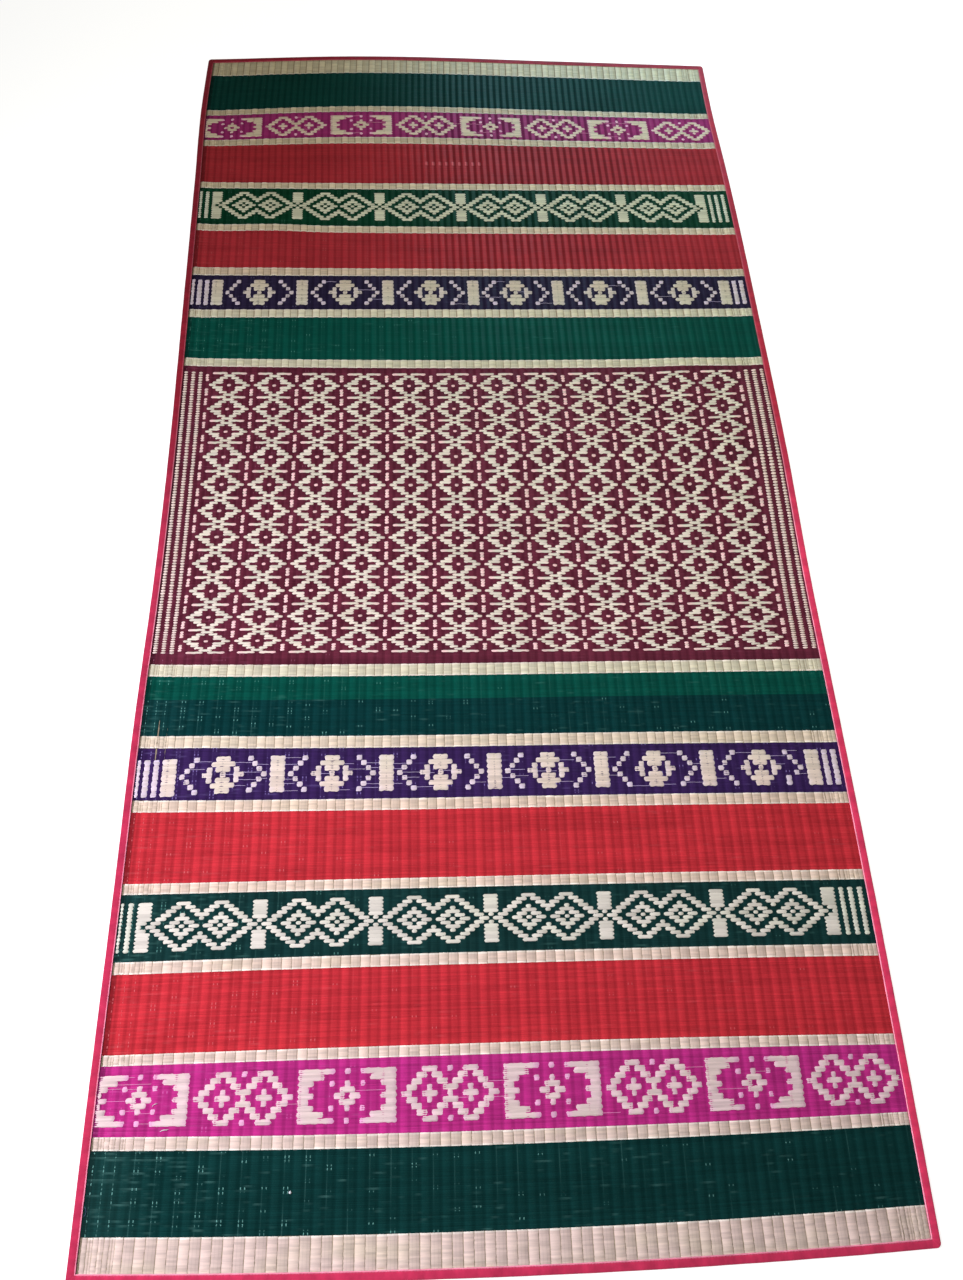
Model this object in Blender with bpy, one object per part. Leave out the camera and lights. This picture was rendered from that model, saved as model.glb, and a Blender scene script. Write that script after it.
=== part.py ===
"""Grass floor mat laid on a floor: one woven grass panel with a cloth tape folded over each edge.

X runs across the mat, Y from the near end to the far end and Z up from the floor.
The origin is under the middle of the mat. Sizes below are in millimetres.
"""
import math

import bmesh
import bpy
import numpy as np

MM = 0.001

# The flat mat
LENGTH = 1843.0             # near end to far end along the middle, tapes included
WIDTH = 885.0               # left to right, tapes included
THICK = 2.4                 # woven grass, floor to the bottom of a groove
BRIGHT_RIB = 0.85           # height of a smooth, full rib above its grooves
DULL_RIB = 0.45             # height of a flatter rib, where cotton warps show through
COLUMNS_SEEN = 157.4        # warp columns between the left and right tapes
FIRST_COLUMN = 0.4          # part of a column left of column 0
LAST = 156                  # the last whole column
SIDE_RIBS = 5               # ribs are all dull in this many columns at each side

# The tapes
LAP = 9.5                   # how far a tape reaches in over the mat
TAPE = 0.9                  # tape cloth with its turned-in edge
GAP = 0.3                   # clearance between neighbouring pieces
MAT_EDGE = 2.2              # grass pressed flat inside a tape
TAPE_HEIGHT = 2 * TAPE + 2 * GAP + MAT_EDGE
INSET = TAPE + GAP          # from the outside of a tape to the grass in it
CORNER_R = 5.0              # rounding of the mat's corners in plan
FOLD_OUT = 6.0              # depth of the folded-in corner, at the outer edge
FOLD_IN = 3.0               # and at the tape's inner edge
RISE_END = 36.0             # the grass comes down to the floor this far in from an edge

# Spacing of the solid's rows, in millimetres
ROW_ENDS = (LAP + GAP, 16.0, 38.0)
ROW_COUNT = 20
UNDER_STEP = 6              # columns between two lines of the underside

# How far the mat's edges lie to the right of two straight lines WIDTH apart
OUTLINE = {
    "along": (0, 190, 390, 590, 800, 1000, 1220, 1540, 1730, 1843),
    "left":  (-3.0, -2.0, 0.0, 1.0, 5.5, 6.0, 3.0, -2.0, -5.0, -2.0),
    "right": (1.0, 4.0, 6.5, 7.0, 6.5, 10.0, 9.0, 5.0, -1.0, -1.5),
}

# How much further up the mat a stripe's end lies than its middle, at each side
DRIFT = {
    "along": (0, 125, 210, 350, 570, 660, 850, 1050, 1160, 1260, 1430, 1530, 1640, 1720, 1843),
    "left":  (8, 7, -1, -1, 5, 4, 4, 1, 5, -1, 4, 0, -4, -7, -3),
    "right": (10, 5, -3, -2, -3, -1, -5, 3, 6, 3, 0, 1, 1, -3, -5),
}

# The far end stands a little off the floor: its height across the mat
FAR_LIFT = {
    "across": (0, 60, 132, 238, 345, 453, 562, 670, 779, 885),
    "height": (0.3, 2.0, 4.5, 7.4, 7.7, 6.2, 3.9, 2.3, 1.0, 0.2),
}
FAR_LIFT_FULL = 190.0       # the lift keeps its height this far in from the far end
FAR_LIFT_END = 310.0        # and has come down to the floor here

# Low swells where the grass doesn't lie quite flat
SWELLS = (
    {"along": 1430, "across": 133, "height": 2.5, "half_length": 110, "half_width": 90},
    {"along": 1160, "across": 760, "height": 2.0, "half_length": 90, "half_width": 80},
    {"along": 570, "across": 92, "height": 2.0, "half_length": 90, "half_width": 70},
)

MATERIALS = {
    "dyed_grass": {"colour": (0.36, 0.045, 0.055, 1.0), "roughness": 0.55},
    "binding_tape": {"colour": (0.60, 0.045, 0.13, 1.0), "roughness": 0.8},
}


def smooth(table, across_name, value_name, at):
    """Read a table at any place, with a smooth curve through its entries."""
    x = np.asarray(table[across_name], float)
    y = np.asarray(table[value_name], float)
    slope = np.gradient(y, x)
    at = np.clip(np.asarray(at, float), x[0], x[-1])
    i = np.clip(np.searchsorted(x, at, side="right") - 1, 0, len(x) - 2)
    step = x[i + 1] - x[i]
    t = (at - x[i]) / step
    from_left = y[i] * (1 + 2 * t) * (1 - t) ** 2 + slope[i] * step * t * (1 - t) ** 2
    from_right = y[i + 1] * t * t * (3 - 2 * t) + slope[i + 1] * step * t * t * (t - 1)
    return from_left + from_right


def ease(t):
    """0 to 1 with a soft start and a soft end."""
    t = np.clip(t, 0.0, 1.0)
    return t * t * (3.0 - 2.0 * t)


def lift(across, along):
    """Height of the mat's underside above the floor."""
    from_far = LENGTH - along
    end = ease((FAR_LIFT_END - from_far) / (FAR_LIFT_END - FAR_LIFT_FULL))
    height = end * smooth(FAR_LIFT, "across", "height", across)
    for swell in SWELLS:
        away = np.hypot((along - swell["along"]) / swell["half_length"],
                        (across - swell["across"]) / swell["half_width"])
        height = height + swell["height"] * ease(1.0 - away)
    return height


def lay(point):
    """Carry a point of the flat mat (across, along, height) to where it lies on the floor."""
    across, along, height = point
    share = across / WIDTH
    left = smooth(OUTLINE, "along", "left", along)
    right = smooth(OUTLINE, "along", "right", along)
    side = "left" if share < 0.5 else "right"
    drift = smooth(DRIFT, "along", side, along) * (1.0 - 2.0 * share) ** 2
    x = left + share * (WIDTH + right - left)
    return float(x), float(along + drift), float(height + lift(across, along))


def edge_distance(across, along):
    return min(across, WIDTH - across, along, LENGTH - along)


def underside(across, along):
    """The grass rises over the lower flap of a tape and lies on the floor further in."""
    d = edge_distance(across, along)
    start = LAP + GAP
    return INSET * float(ease((RISE_END - d) / (RISE_END - start)))


def rib(column):
    """Height of the rib or groove in the middle of a column."""
    if column % 2:
        return 0.0
    full = column % 4 == 2 and SIDE_RIBS < column <= LAST - SIDE_RIBS
    return BRIGHT_RIB if full else DULL_RIB


def build_object(name, points, faces, material):
    """One closed body from flat-mat points in millimetres, still off centre."""
    mesh = bpy.data.meshes.new(name)
    laid = [[c * MM for c in lay(p)] for p in points]
    mesh.from_pydata(laid, [], faces)
    bm = bmesh.new()
    bm.from_mesh(mesh)
    bmesh.ops.recalc_face_normals(bm, faces=bm.faces)
    bm.to_mesh(mesh)
    bm.free()
    mesh.materials.append(material)
    obj = bpy.data.objects.new(name, mesh)
    bpy.context.scene.collection.objects.link(obj)
    return obj


def row_places():
    """Places along the mat for the rows of the grass panel and the side tapes."""
    near = list(ROW_ENDS)
    far = [LENGTH - e for e in reversed(near)]
    middle = np.linspace(near[-1], far[0], ROW_COUNT + 1)[1:-1]
    return near + [float(m) for m in middle] + far


def column_places():
    """Places across the mat for its ribs and grooves, with the height of each."""
    pitch = (WIDTH - 2 * LAP) / COLUMNS_SEEN
    ribs = [(LAP + (FIRST_COLUMN + k + 0.5) * pitch, rib(k)) for k in range(LAST + 1)]
    left = [(INSET, 0.0), (LAP + GAP, 0.0)]
    right = [(WIDTH - LAP - GAP, 0.0), (WIDTH - INSET, 0.0)]
    return left + ribs + right


def cut_corner(across, along):
    """The grass is cut back where a side tape is folded in at the mat's corners."""
    side = min(across, WIDTH - across)
    slope = (FOLD_OUT - FOLD_IN) / (LAP - TAPE)
    clearance = GAP * math.hypot(1.0, slope)
    if side > LAP + GAP:
        return along
    nearest = FOLD_OUT - slope * (side - TAPE) + clearance
    return min(max(along, nearest), LENGTH - nearest)


def make_mat(material):
    """The woven grass panel: a ribbed top, a plain underside and thin walls between them."""
    columns = column_places()
    rows = [INSET] + row_places() + [LENGTH - INSET]
    last_row = len(rows) - 1
    last_column = len(columns) - 1
    points = []
    faces = []

    def add(across, along, height):
        points.append((across, cut_corner(across, along), height))
        return len(points) - 1

    top = []
    for j, along in enumerate(rows):
        pressed = j < 2 or j > last_row - 2
        line = []
        for i, (across, height) in enumerate(columns):
            flat = pressed or i < 2 or i > last_column - 2
            grass = MAT_EDGE if flat else THICK + height
            line.append(add(across, along, underside(across, along) + grass))
        top.append(line)

    # Lines of the underside: the four next to the sides, and every sixth column between
    inner = list(range(2 + 4, last_column - 2 - 3, UNDER_STEP))
    lines = [0, 1] + inner + [last_column - 6, last_column - 1, last_column]
    lines = sorted(set(lines))
    under = {}
    for j, along in enumerate(rows):
        whole = j in (0, last_row)
        for i in (range(last_column + 1) if whole else lines):
            across = columns[i][0]
            under[i, j] = add(across, along, underside(across, along))

    for j in range(last_row):
        for i in range(last_column):
            faces.append((top[j][i], top[j][i + 1], top[j + 1][i + 1], top[j + 1][i]))

    for a, b in zip(lines[:-1], lines[1:]):
        for j in range(1, last_row - 1):
            faces.append((under[a, j], under[b, j], under[b, j + 1], under[a, j + 1]))
        for end, next_row in ((0, 1), (last_row, last_row - 1)):
            half = (a + b) // 2
            for i in range(a, half):
                faces.append((under[a, next_row], under[i, end], under[i + 1, end]))
            faces.append((under[a, next_row], under[half, end], under[b, next_row]))
            for i in range(half, b):
                faces.append((under[b, next_row], under[i, end], under[i + 1, end]))

    for j in range(last_row):
        for i in (0, last_column):
            faces.append((top[j][i], top[j + 1][i], under[i, j + 1], under[i, j]))
    for j in (0, last_row):
        for i in range(last_column):
            faces.append((top[j][i], top[j][i + 1], under[i + 1, j], under[i, j]))
    return build_object("woven_mat", points, faces, material)


def outer_profile():
    """Rounded outside of a tape: inset from the mat's outline, and height."""
    middle = TAPE_HEIGHT / 2
    return ((1.5, 0.0), (0.35, 0.55), (0.0, middle), (0.35, TAPE_HEIGHT - 0.55), (1.5, TAPE_HEIGHT))


def tape_section():
    """A tape folded round the edge: distance in from the outline, and height."""
    low = TAPE
    high = TAPE_HEIGHT - TAPE
    outside = [(LAP, 0.0)] + list(outer_profile()) + [(LAP, TAPE_HEIGHT)]
    inside = [(LAP, high), (TAPE, high), (TAPE, low), (LAP, low)]
    return outside + inside


def strip_faces(rings):
    """Faces between neighbouring closed rings of points."""
    faces = []
    for a, b in zip(rings[:-1], rings[1:]):
        for i in range(len(a)):
            n = (i + 1) % len(a)
            faces.append((a[i], a[n], b[n], b[i]))
    return faces


def make_side_tape(name, on_left, material):
    """A tape along a side, full length, with its ends folded in at the rounded corners."""
    points = []
    faces = []

    def add(inward, along, height):
        points.append((inward if on_left else WIDTH - inward, along, height))
        return len(points) - 1

    def ring(place):
        return [add(d, place(d), z) for d, z in tape_section()]

    def slanted(d):
        return FOLD_IN if d == LAP else FOLD_OUT

    middle = [ring(lambda d, s=s: s) for s in row_places()]
    near = ring(slanted)
    far = ring(lambda d: LENGTH - slanted(d))
    faces += strip_faces([near] + middle + [far])

    # Each end is closed by the folded-in cloth, rounded in plan round the corner's centre
    profile = outer_profile()
    for end, is_far in ((near, False), (far, True)):
        edge = [end[1:6]]
        for degrees in (30, 60, 90):
            a = math.radians(degrees)
            station = []
            for inset, z in profile:
                r = CORNER_R - inset
                e = CORNER_R - r * math.sin(a)
                station.append(add(CORNER_R - r * math.cos(a), LENGTH - e if is_far else e, z))
            edge.append(station)
        edge.append([add(LAP, LENGTH - inset if is_far else inset, z) for inset, z in profile])
        for a, b in zip(edge[:-1], edge[1:]):
            for i in range(len(profile) - 1):
                faces.append((a[i], a[i + 1], b[i + 1], b[i]))
        faces.append([station[0] for station in edge] + [end[0]])
        faces.append([station[-1] for station in edge] + [end[6]])
        faces.append([end[0], end[10], end[7], end[6]] + edge[-1][::-1])
        faces.append((end[7], end[8], end[9], end[10]))
    return build_object(name, points, faces, material)


def make_end_tape(name, at_far_end, material):
    """A tape across an end, fitted between the two side tapes."""
    start = LAP + GAP
    pitch = (WIDTH - 2 * LAP) / COLUMNS_SEEN
    grooves = [LAP + (FIRST_COLUMN + k + 0.5) * pitch for k in range(4, LAST, 4)]
    places = [start] + grooves + [WIDTH - start]
    points = []
    rings = []
    for across in places:
        ring = []
        for inward, z in tape_section():
            points.append((across, LENGTH - inward if at_far_end else inward, z))
            ring.append(len(points) - 1)
        rings.append(ring)
    faces = strip_faces(rings)
    for ring in (rings[0], rings[-1]):
        faces.append((ring[0], ring[1], ring[9], ring[10]))
        faces.append((ring[1], ring[2], ring[3], ring[4], ring[5], ring[8], ring[9]))
        faces.append((ring[5], ring[6], ring[7], ring[8]))
    return build_object(name, points, faces, material)


def make_material(name):
    spec = MATERIALS[name]
    material = bpy.data.materials.new(name)
    material.use_nodes = True
    shader = material.node_tree.nodes["Principled BSDF"]
    shader.inputs["Base Color"].default_value = spec["colour"]
    shader.inputs["Roughness"].default_value = spec["roughness"]
    shader.inputs["Metallic"].default_value = 0.0
    return material


def centre_on_floor(objects):
    """Put the origin under the middle of the whole mat, at floor height."""
    corners = np.array([v.co for obj in objects for v in obj.data.vertices])
    low = corners.min(axis=0)
    high = corners.max(axis=0)
    shift = np.array([-(low[0] + high[0]) / 2, -(low[1] + high[1]) / 2, -low[2]])
    for obj in objects:
        for vertex in obj.data.vertices:
            vertex.co = [c + s for c, s in zip(vertex.co, shift)]


def main():
    for obj in list(bpy.data.objects):
        bpy.data.objects.remove(obj)
    grass = make_material("dyed_grass")
    tape = make_material("binding_tape")
    mat = make_mat(grass)
    tapes = [
        make_side_tape("binding_left", True, tape),
        make_side_tape("binding_right", False, tape),
        make_end_tape("binding_near", False, tape),
        make_end_tape("binding_far", True, tape),
    ]
    centre_on_floor([mat] + tapes)
    for obj in tapes:
        obj.data.shade_smooth()
        obj.data.set_sharp_from_angle(angle=math.radians(50))


main()
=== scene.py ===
# %% [markdown]
# # A woven grass floor mat, laid out on the floor
#
# The real thing is a sleeping mat about six feet long. Dyed grass stems run across it as weft,
# cotton threads run along it as warp, and a cloth tape is folded over each edge. This lesson
# dresses the plain solids of that mat: it lays real grass strands on them, sews on the tapes and
# lights the whole like a photograph taken by somebody standing at its near end.
#
# Every place on the mat is first written as if the mat were flat and perfectly square, in
# millimetres, and one function then lays it on the floor with its slightly wavy outline.

# %% Load the solids
import math
from functools import partial

import bpy
import numpy as np
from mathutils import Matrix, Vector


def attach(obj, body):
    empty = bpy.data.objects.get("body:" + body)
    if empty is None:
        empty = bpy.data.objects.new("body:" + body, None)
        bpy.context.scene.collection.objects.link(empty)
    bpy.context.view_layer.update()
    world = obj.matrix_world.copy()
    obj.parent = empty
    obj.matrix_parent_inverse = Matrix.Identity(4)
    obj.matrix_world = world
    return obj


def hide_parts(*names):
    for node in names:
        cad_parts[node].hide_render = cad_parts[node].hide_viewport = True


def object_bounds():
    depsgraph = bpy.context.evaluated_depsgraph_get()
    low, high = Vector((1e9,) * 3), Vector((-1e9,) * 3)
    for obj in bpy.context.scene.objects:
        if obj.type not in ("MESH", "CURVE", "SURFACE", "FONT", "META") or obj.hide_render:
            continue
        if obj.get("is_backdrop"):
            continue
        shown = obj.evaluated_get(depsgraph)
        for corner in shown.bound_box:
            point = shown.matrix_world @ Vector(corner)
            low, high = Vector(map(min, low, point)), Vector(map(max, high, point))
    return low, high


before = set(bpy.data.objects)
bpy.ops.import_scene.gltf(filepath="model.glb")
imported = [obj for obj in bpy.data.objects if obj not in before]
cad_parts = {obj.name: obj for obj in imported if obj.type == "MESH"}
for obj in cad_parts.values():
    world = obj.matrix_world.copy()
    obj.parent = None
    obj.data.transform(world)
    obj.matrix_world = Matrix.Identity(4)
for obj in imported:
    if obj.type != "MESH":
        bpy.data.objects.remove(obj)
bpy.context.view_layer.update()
MM = 0.001

# %% [markdown]
# ## How the mat lies
#
# A hand-finished mat is never a true rectangle. Three short tables say how far its edges wander
# to the side, how far the ends of a stripe lie ahead of its middle, and how the far end stands a
# few millimetres off the floor. A smooth curve through each table gives every place between.
# They are the same tables that the solids were made with, so strands and solids fit.

# %% Sizes of the flat mat, in millimetres
LENGTH = 1843.0
WIDTH = 885.0
TAPE_LAP = 9.5              # a tape covers this much of the grass
TAPE_THICK = 0.9
GAP = 0.3
PRESSED = 2.2               # thickness of the grass inside a tape
THICK = 2.4                 # thickness of the grass at a groove
BRIGHT_RIB = 0.85
DULL_RIB = 0.45
PROUD = 0.22                # bare strands stand this much above the ribs
COLUMNS = 157.4             # warp columns between the two side tapes
FIRST_CREST = 0.9           # the first rib's middle, in columns from the left tape
LAST_RIB = 156
SIDE_RIBS = 5
PITCH = (WIDTH - 2 * TAPE_LAP) / COLUMNS
PICK = 2.05                 # one grass strand to the next, along the mat

OUTLINE = {
    "along": (0, 190, 390, 590, 800, 1000, 1220, 1540, 1730, 1843),
    "left":  (-3.0, -2.0, 0.0, 1.0, 5.5, 6.0, 3.0, -2.0, -5.0, -2.0),
    "right": (1.0, 4.0, 6.5, 7.0, 6.5, 10.0, 9.0, 5.0, -1.0, -1.5),
}
DRIFT = {
    "along": (0, 125, 210, 350, 570, 660, 850, 1050, 1160, 1260, 1430, 1530, 1640, 1720, 1843),
    "left":  (8, 7, -1, -1, 5, 4, 4, 1, 5, -1, 4, 0, -4, -7, -3),
    "right": (10, 5, -3, -2, -3, -1, -5, 3, 6, 3, 0, 1, 1, -3, -5),
}
FAR_LIFT = {
    "across": (0, 60, 132, 238, 345, 453, 562, 670, 779, 885),
    "height": (0.3, 2.0, 4.5, 7.4, 7.7, 6.2, 3.9, 2.3, 1.0, 0.2),
}
SWELLS = (
    {"along": 1430, "across": 133, "height": 2.5, "half_length": 110, "half_width": 90},
    {"along": 1160, "across": 760, "height": 2.0, "half_length": 90, "half_width": 80},
    {"along": 570, "across": 92, "height": 2.0, "half_length": 90, "half_width": 70},
)


def smooth(table, place, value, at):
    """Read a table anywhere, on a smooth curve through its entries."""
    x, y = np.array(table[place], float), np.array(table[value], float)
    slope = np.gradient(y, x)
    at = np.clip(at, x[0], x[-1])
    i = np.clip(np.searchsorted(x, at, side="right") - 1, 0, len(x) - 2)
    step = x[i + 1] - x[i]
    t = (at - x[i]) / step
    start = y[i] * (1 + 2 * t) * (1 - t) ** 2 + slope[i] * step * t * (1 - t) ** 2
    end = y[i + 1] * t * t * (3 - 2 * t) + slope[i + 1] * step * t * t * (t - 1)
    return start + end


def ease(t):
    """0 to 1 with a soft start and end."""
    t = np.clip(t, 0.0, 1.0)
    return t * t * (3 - 2 * t)


def floor_lift(across, along):
    """Height of the mat's underside above the floor."""
    height = ease((310 - (LENGTH - along)) / 120) * smooth(FAR_LIFT, "across", "height", across)
    for swell in SWELLS:
        away = np.hypot((along - swell["along"]) / swell["half_length"],
                        (across - swell["across"]) / swell["half_width"])
        height = height + swell["height"] * ease(1 - away)
    return height


def wander(across, along):
    """Flat place to laid place, still measured from the mat's near left corner."""
    share = across / WIDTH
    left = smooth(OUTLINE, "along", "left", along)
    right = smooth(OUTLINE, "along", "right", along)
    drift = np.where(share < 0.5, smooth(DRIFT, "along", "left", along),
                     smooth(DRIFT, "along", "right", along))
    return left + share * (WIDTH + right - left), along + drift * (1 - 2 * share) ** 2


edge_along = np.linspace(0, LENGTH, 600)
edge_across = np.linspace(0, WIDTH, 600)
CENTRE_X = (wander(0 * edge_along, edge_along)[0].min()
            + wander(0 * edge_along + WIDTH, edge_along)[0].max()) / 2
CENTRE_Y = (wander(edge_across, 0 * edge_across)[1].min()
            + wander(edge_across, 0 * edge_across + LENGTH)[1].max()) / 2


def lay(across, along, height):
    """Carry flat millimetres to metres on the floor, with the origin under the mat's middle."""
    across, along, height = np.broadcast_arrays(
        np.asarray(across, float), np.asarray(along, float), np.asarray(height, float))
    x, y = wander(across, along)
    z = height + floor_lift(across, along)
    return np.stack([x - CENTRE_X, y - CENTRE_Y, z], -1) * MM


print("centre of the laid mat", round(CENTRE_X, 2), round(CENTRE_Y, 2))

# %% [markdown]
# ## Camera
#
# Whoever took the picture stood at the near end and looked down and forward. The lens is a phone's
# wide one. Place and turn are worked out from how the mat's long sides run together.

# %% Make the camera
camera_data = bpy.data.cameras.new("phone_camera")
camera_data.sensor_fit = "VERTICAL"
camera_data.sensor_height = 36.0
camera_data.lens = 36.0 * 963 / 1280
camera_data.shift_x = 24 / 1280             # the picture was trimmed a little on one side
camera = bpy.data.objects.new("phone_camera", camera_data)
camera.location = ((354.2 - CENTRE_X) * MM, (186.1 - CENTRE_Y) * MM, 1148.2 * MM)
camera.rotation_euler = (math.radians(24.391), math.radians(-1.875), math.radians(-1.659))
bpy.context.scene.collection.objects.link(camera)
bpy.context.scene.camera = camera
print("camera at", tuple(round(c, 3) for c in camera.location))

# %% [markdown]
# ## Helpers for colours and nodes
#
# Colours are written as sRGB hex, the way a colour picker shows them, and Blender wants linear
# light, so one function turns them. Another adds a shader node with its settings and links. A
# table lists the nodes that these materials use, and any other word is an operation of Math.

# %% Colour and node helpers
# For each word: Blender's node, its settings, the inputs that values go to, and the output
NODES = {
    "weave": ("Attribute", {"attribute_name": "weave"}, (), "Vector"),
    "stain": ("Attribute", {"attribute_name": "stain"}, (), "Fac"),
    "object": ("TexCoord", {}, (), "Object"),
    "split": ("SeparateXYZ", {}, (0,), 0),
    "place": ("CombineXYZ", {}, (0, 1, 2), 0),
    "stretch": ("VectorMath", {"operation": "MULTIPLY"}, (0, 1), 0),
    "noise": ("TexNoise", {}, ("Vector", "Scale", "Detail", "Roughness"), 0),
    "random": ("TexWhiteNoise", {"noise_dimensions": "1D"}, ("W",), 0),
    "ease": ("MapRange", {"interpolation_type": "SMOOTHSTEP"}, (0, 1, 2, 3, 4), 0),
    "tones": ("ValToRGB", {}, (0,), 0),
    "mix": ("Mix", {"data_type": "RGBA"}, (0, 6, 7), 2),
    "darken": ("Mix", {"data_type": "RGBA", "blend_type": "MULTIPLY"}, (0, 6, 7), 2),
    "bump": ("Bump", {}, ("Strength", "Distance", "Height"), 0),
}


def linear(hex_colour):
    """sRGB hex to a linear colour with alpha."""
    parts = [int(hex_colour[i:i + 2], 16) / 255 for i in (1, 3, 5)]
    return [c / 12.92 if c <= 0.04045 else ((c + 0.055) / 1.055) ** 2.4 for c in parts] + [1.0]


def fill(node, inputs):
    """Give each input its value, or link it to another node's output."""
    for name, value in inputs.items():
        if isinstance(value, bpy.types.NodeSocket):
            node.id_data.links.new(value, node.inputs[name])
        else:
            node.inputs[name].default_value = value


def add_node(tree, word, *values):
    """Add a node with its settings and links, and return its output."""
    kind, settings, inputs, output = NODES.get(word, ("Math", {"operation": word}, (0, 1, 2), 0))
    node = tree.nodes.new("ShaderNode" + kind)
    for name, value in settings.items():
        setattr(node, name, value)
    fill(node, dict(zip(inputs, values)))
    return node.outputs[output]


def start_material(name):
    """A new material, the adding of nodes to it, and the weave attribute, whole and in parts."""
    material = bpy.data.materials.new(name)
    material.use_nodes = True
    node = partial(add_node, material.node_tree)
    weave = node("weave")
    return material, node, weave, node("split", weave).node.outputs


def finished(material, inputs):
    """The material, with these inputs of its shader."""
    fill(material.node_tree.nodes["Principled BSDF"], inputs)
    return material


def uneven(node, place, stretch, detail=1.0, roughness=0.5, scale=1.0):
    """Soft noise over a place in the cloth, finer in the directions that are stretched more."""
    return node("noise", node("stretch", place, stretch), scale, detail, roughness)


print("cream is", [round(c, 3) for c in linear("#dccab2")])


# %% [markdown]
# ## Materials of the grass
#
# The weft is split sedge, boiled in dye and dried: a waxy stem, so half glossy, and its colour
# differs from strand to strand and along each strand. The grooves, where the weft dips under a
# warp, and the flatter ribs are painted darker as shade, and on every second rib two cotton
# threads peep through as pale dots.
#
# Each point of the weave carries its own place in the cloth as an attribute: ribs counted across
# and strands counted along. Patterns in the material follow the weave with it, however the mat
# bends.

# %% Dyed grass, woven flat
def dyed_grass(name, dye, thread, peep, patchy=0.45, bleached=0.0):
    """Dyed sedge weft over cotton warp.

    thread is the colour of the threads that peep through, peep how often they do, patchy how
    uneven the dye is, and the last argument how much paler the dye is drawn near the left tape.
    """
    material, node, weave, (column, pick, _) = start_material(name)
    across_rib, across_pair = node("PINGPONG", column, 1.0), node("PINGPONG", column, 2.0)
    groove = node("ease", across_rib, 0.35, 1.0)
    nearness = node("ease", pick, 80.0, 330.0, 0.3, 1.0)
    flat_rib_shade = node("MULTIPLY", node("ease", across_pair, 0.5, 1.2, 1.0, 0.0), nearness)
    # Right of the middle of the far end the grooves are painted darker as shade, so the ribs stand
    # out
    far_right_shade = node("MULTIPLY", node("ease", column, 42.0, 85.0),
                   node("ease", column, 112.0, 145.0, 1.0, 0.2))
    far_right_shade = node("MULTIPLY", far_right_shade, node("ease", pick, 150.0, 330.0, 1.0, 0.0))
    dark = node("MULTIPLY", far_right_shade, node("ease", across_rib, 0.25, 0.75))

    # One shade per strand, streaks along it, and slow patches of uneven dyeing
    strand_number = node("FLOOR", pick)
    strand = node("random", strand_number)
    streak = uneven(node, weave, (0.16, 1.7, 0.0), 3.0, 0.6)
    patch = uneven(node, weave, (0.045, 0.06, 0.0), 2.0)
    shade = node("MULTIPLY_ADD", patch, patchy, 0.525 - patchy / 2)
    shade = node("MULTIPLY_ADD", strand, 0.20, node("MULTIPLY_ADD", streak, 0.75, shade))
    # Painted shade: darker in the grooves, on the flatter ribs towards the near end, and in the far
    # right grooves
    for mask, darkest in ((groove, 0.74), (flat_rib_shade, 0.86), (dark, 0.60)):
        shade = node("MULTIPLY", shade, node("ease", mask, 0.0, 1.0, 1.0, darkest))
    # Painted shadow of the left tape: the grass right beside it is drawn darker
    shade = node("MULTIPLY", shade, node("ease", column, 0.0, 0.45, 0.45, 1.0))
    colour = node("darken", 1.0, linear(dye), shade)

    # Two cotton threads on each dull rib, bright in short dashes. The left one is faintly seen
    # between them too. Beside the left tape every rib has one.
    at_side = node("LESS_THAN", column, 5.5)
    off_thread = node("MULTIPLY", node("SUBTRACT", streak, 0.5), 0.16)
    for off, here in ((across_rib, at_side),
                      (node("ABSOLUTE", node("SUBTRACT", across_pair, 0.38)),
                       node("SUBTRACT", 1.0, at_side))):
        off_thread = node("MULTIPLY_ADD", off, here, off_thread)
    line = node("ease", off_thread, 0.04, 0.12, 1.0, 0.0)
    is_left = node("FRACT", node("MULTIPLY", node("ADD", column, 2.0), 0.25))
    is_left = node("LESS_THAN", is_left, 0.5)
    rib = node("FLOOR", node("MULTIPLY_ADD", column, 0.25, 0.5))
    side = node("MULTIPLY_ADD", at_side, 0.03, node("ease", column, 0.0, 90.0, 0.12, 0.0))
    often, rarely = (node("ADD", side, uneven(node, node("place", rib, pick), (1.0, fine, 0.0)))
                     for fine in (0.21, 0.03))
    dash = node("ease", node("PINGPONG", node("ADD", pick, 0.5), 1.0), 0.25, 0.6)
    bright = node("MULTIPLY", node("ease", often, 1.02 - peep, 1.12 - peep), dash)
    faint = node("MULTIPLY", node("ease", rarely, 0.45, 0.75, 0.0, 0.12),
                 node("MULTIPLY", nearness, is_left))
    threads = node("MULTIPLY", node("MULTIPLY", line, node("MAXIMUM", bright, faint)), nearness)
    # Single strands are scuffed pale over a centimetre or two, most of all near the left tape
    scuff = uneven(node, node("place", column, strand_number), (0.22, 2.7, 0.0))
    scuff = node("ADD", scuff, node("ease", column, 0.0, 45.0, 0.08, 0.0))
    scuff = node("ease", scuff, 0.62, 0.84, 0.0, 0.13)
    # Towards the near end the dye is drawn paler beside the left tape
    paler_near_left = node("MULTIPLY", node("ease", column, 0.0, 14.0, bleached, 0.0),
               node("ease", pick, 350.0, 700.0))
    worn = node("MULTIPLY_ADD", threads, 0.68, node("MULTIPLY_ADD", scuff, nearness, paler_near_left))

    # Strands are rounded, and lie a hair apart
    over_strand = node("MULTIPLY", node("PINGPONG", pick, 0.5), 2.0)
    relief = node("MULTIPLY_ADD", streak, 0.25, node("MULTIPLY", threads, 0.20))
    relief = node("MULTIPLY_ADD", node("POWER", over_strand, 0.55), 0.30, relief)
    # Feet polish the crests, and the grooves stay matt
    rough = node("ADD", node("ease", across_rib, 0.25, 0.80, 0.0, 0.40),
                 node("ease", streak, 0.3, 0.7, 0.33, 0.50))
    return finished(material, {
        "Base Color": node("mix", worn, colour, linear(thread)), "Roughness": rough,
        "Normal": node("bump", 0.8, 1.0 * MM, relief), "IOR": 1.45, "Specular IOR Level": 0.2})
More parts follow.
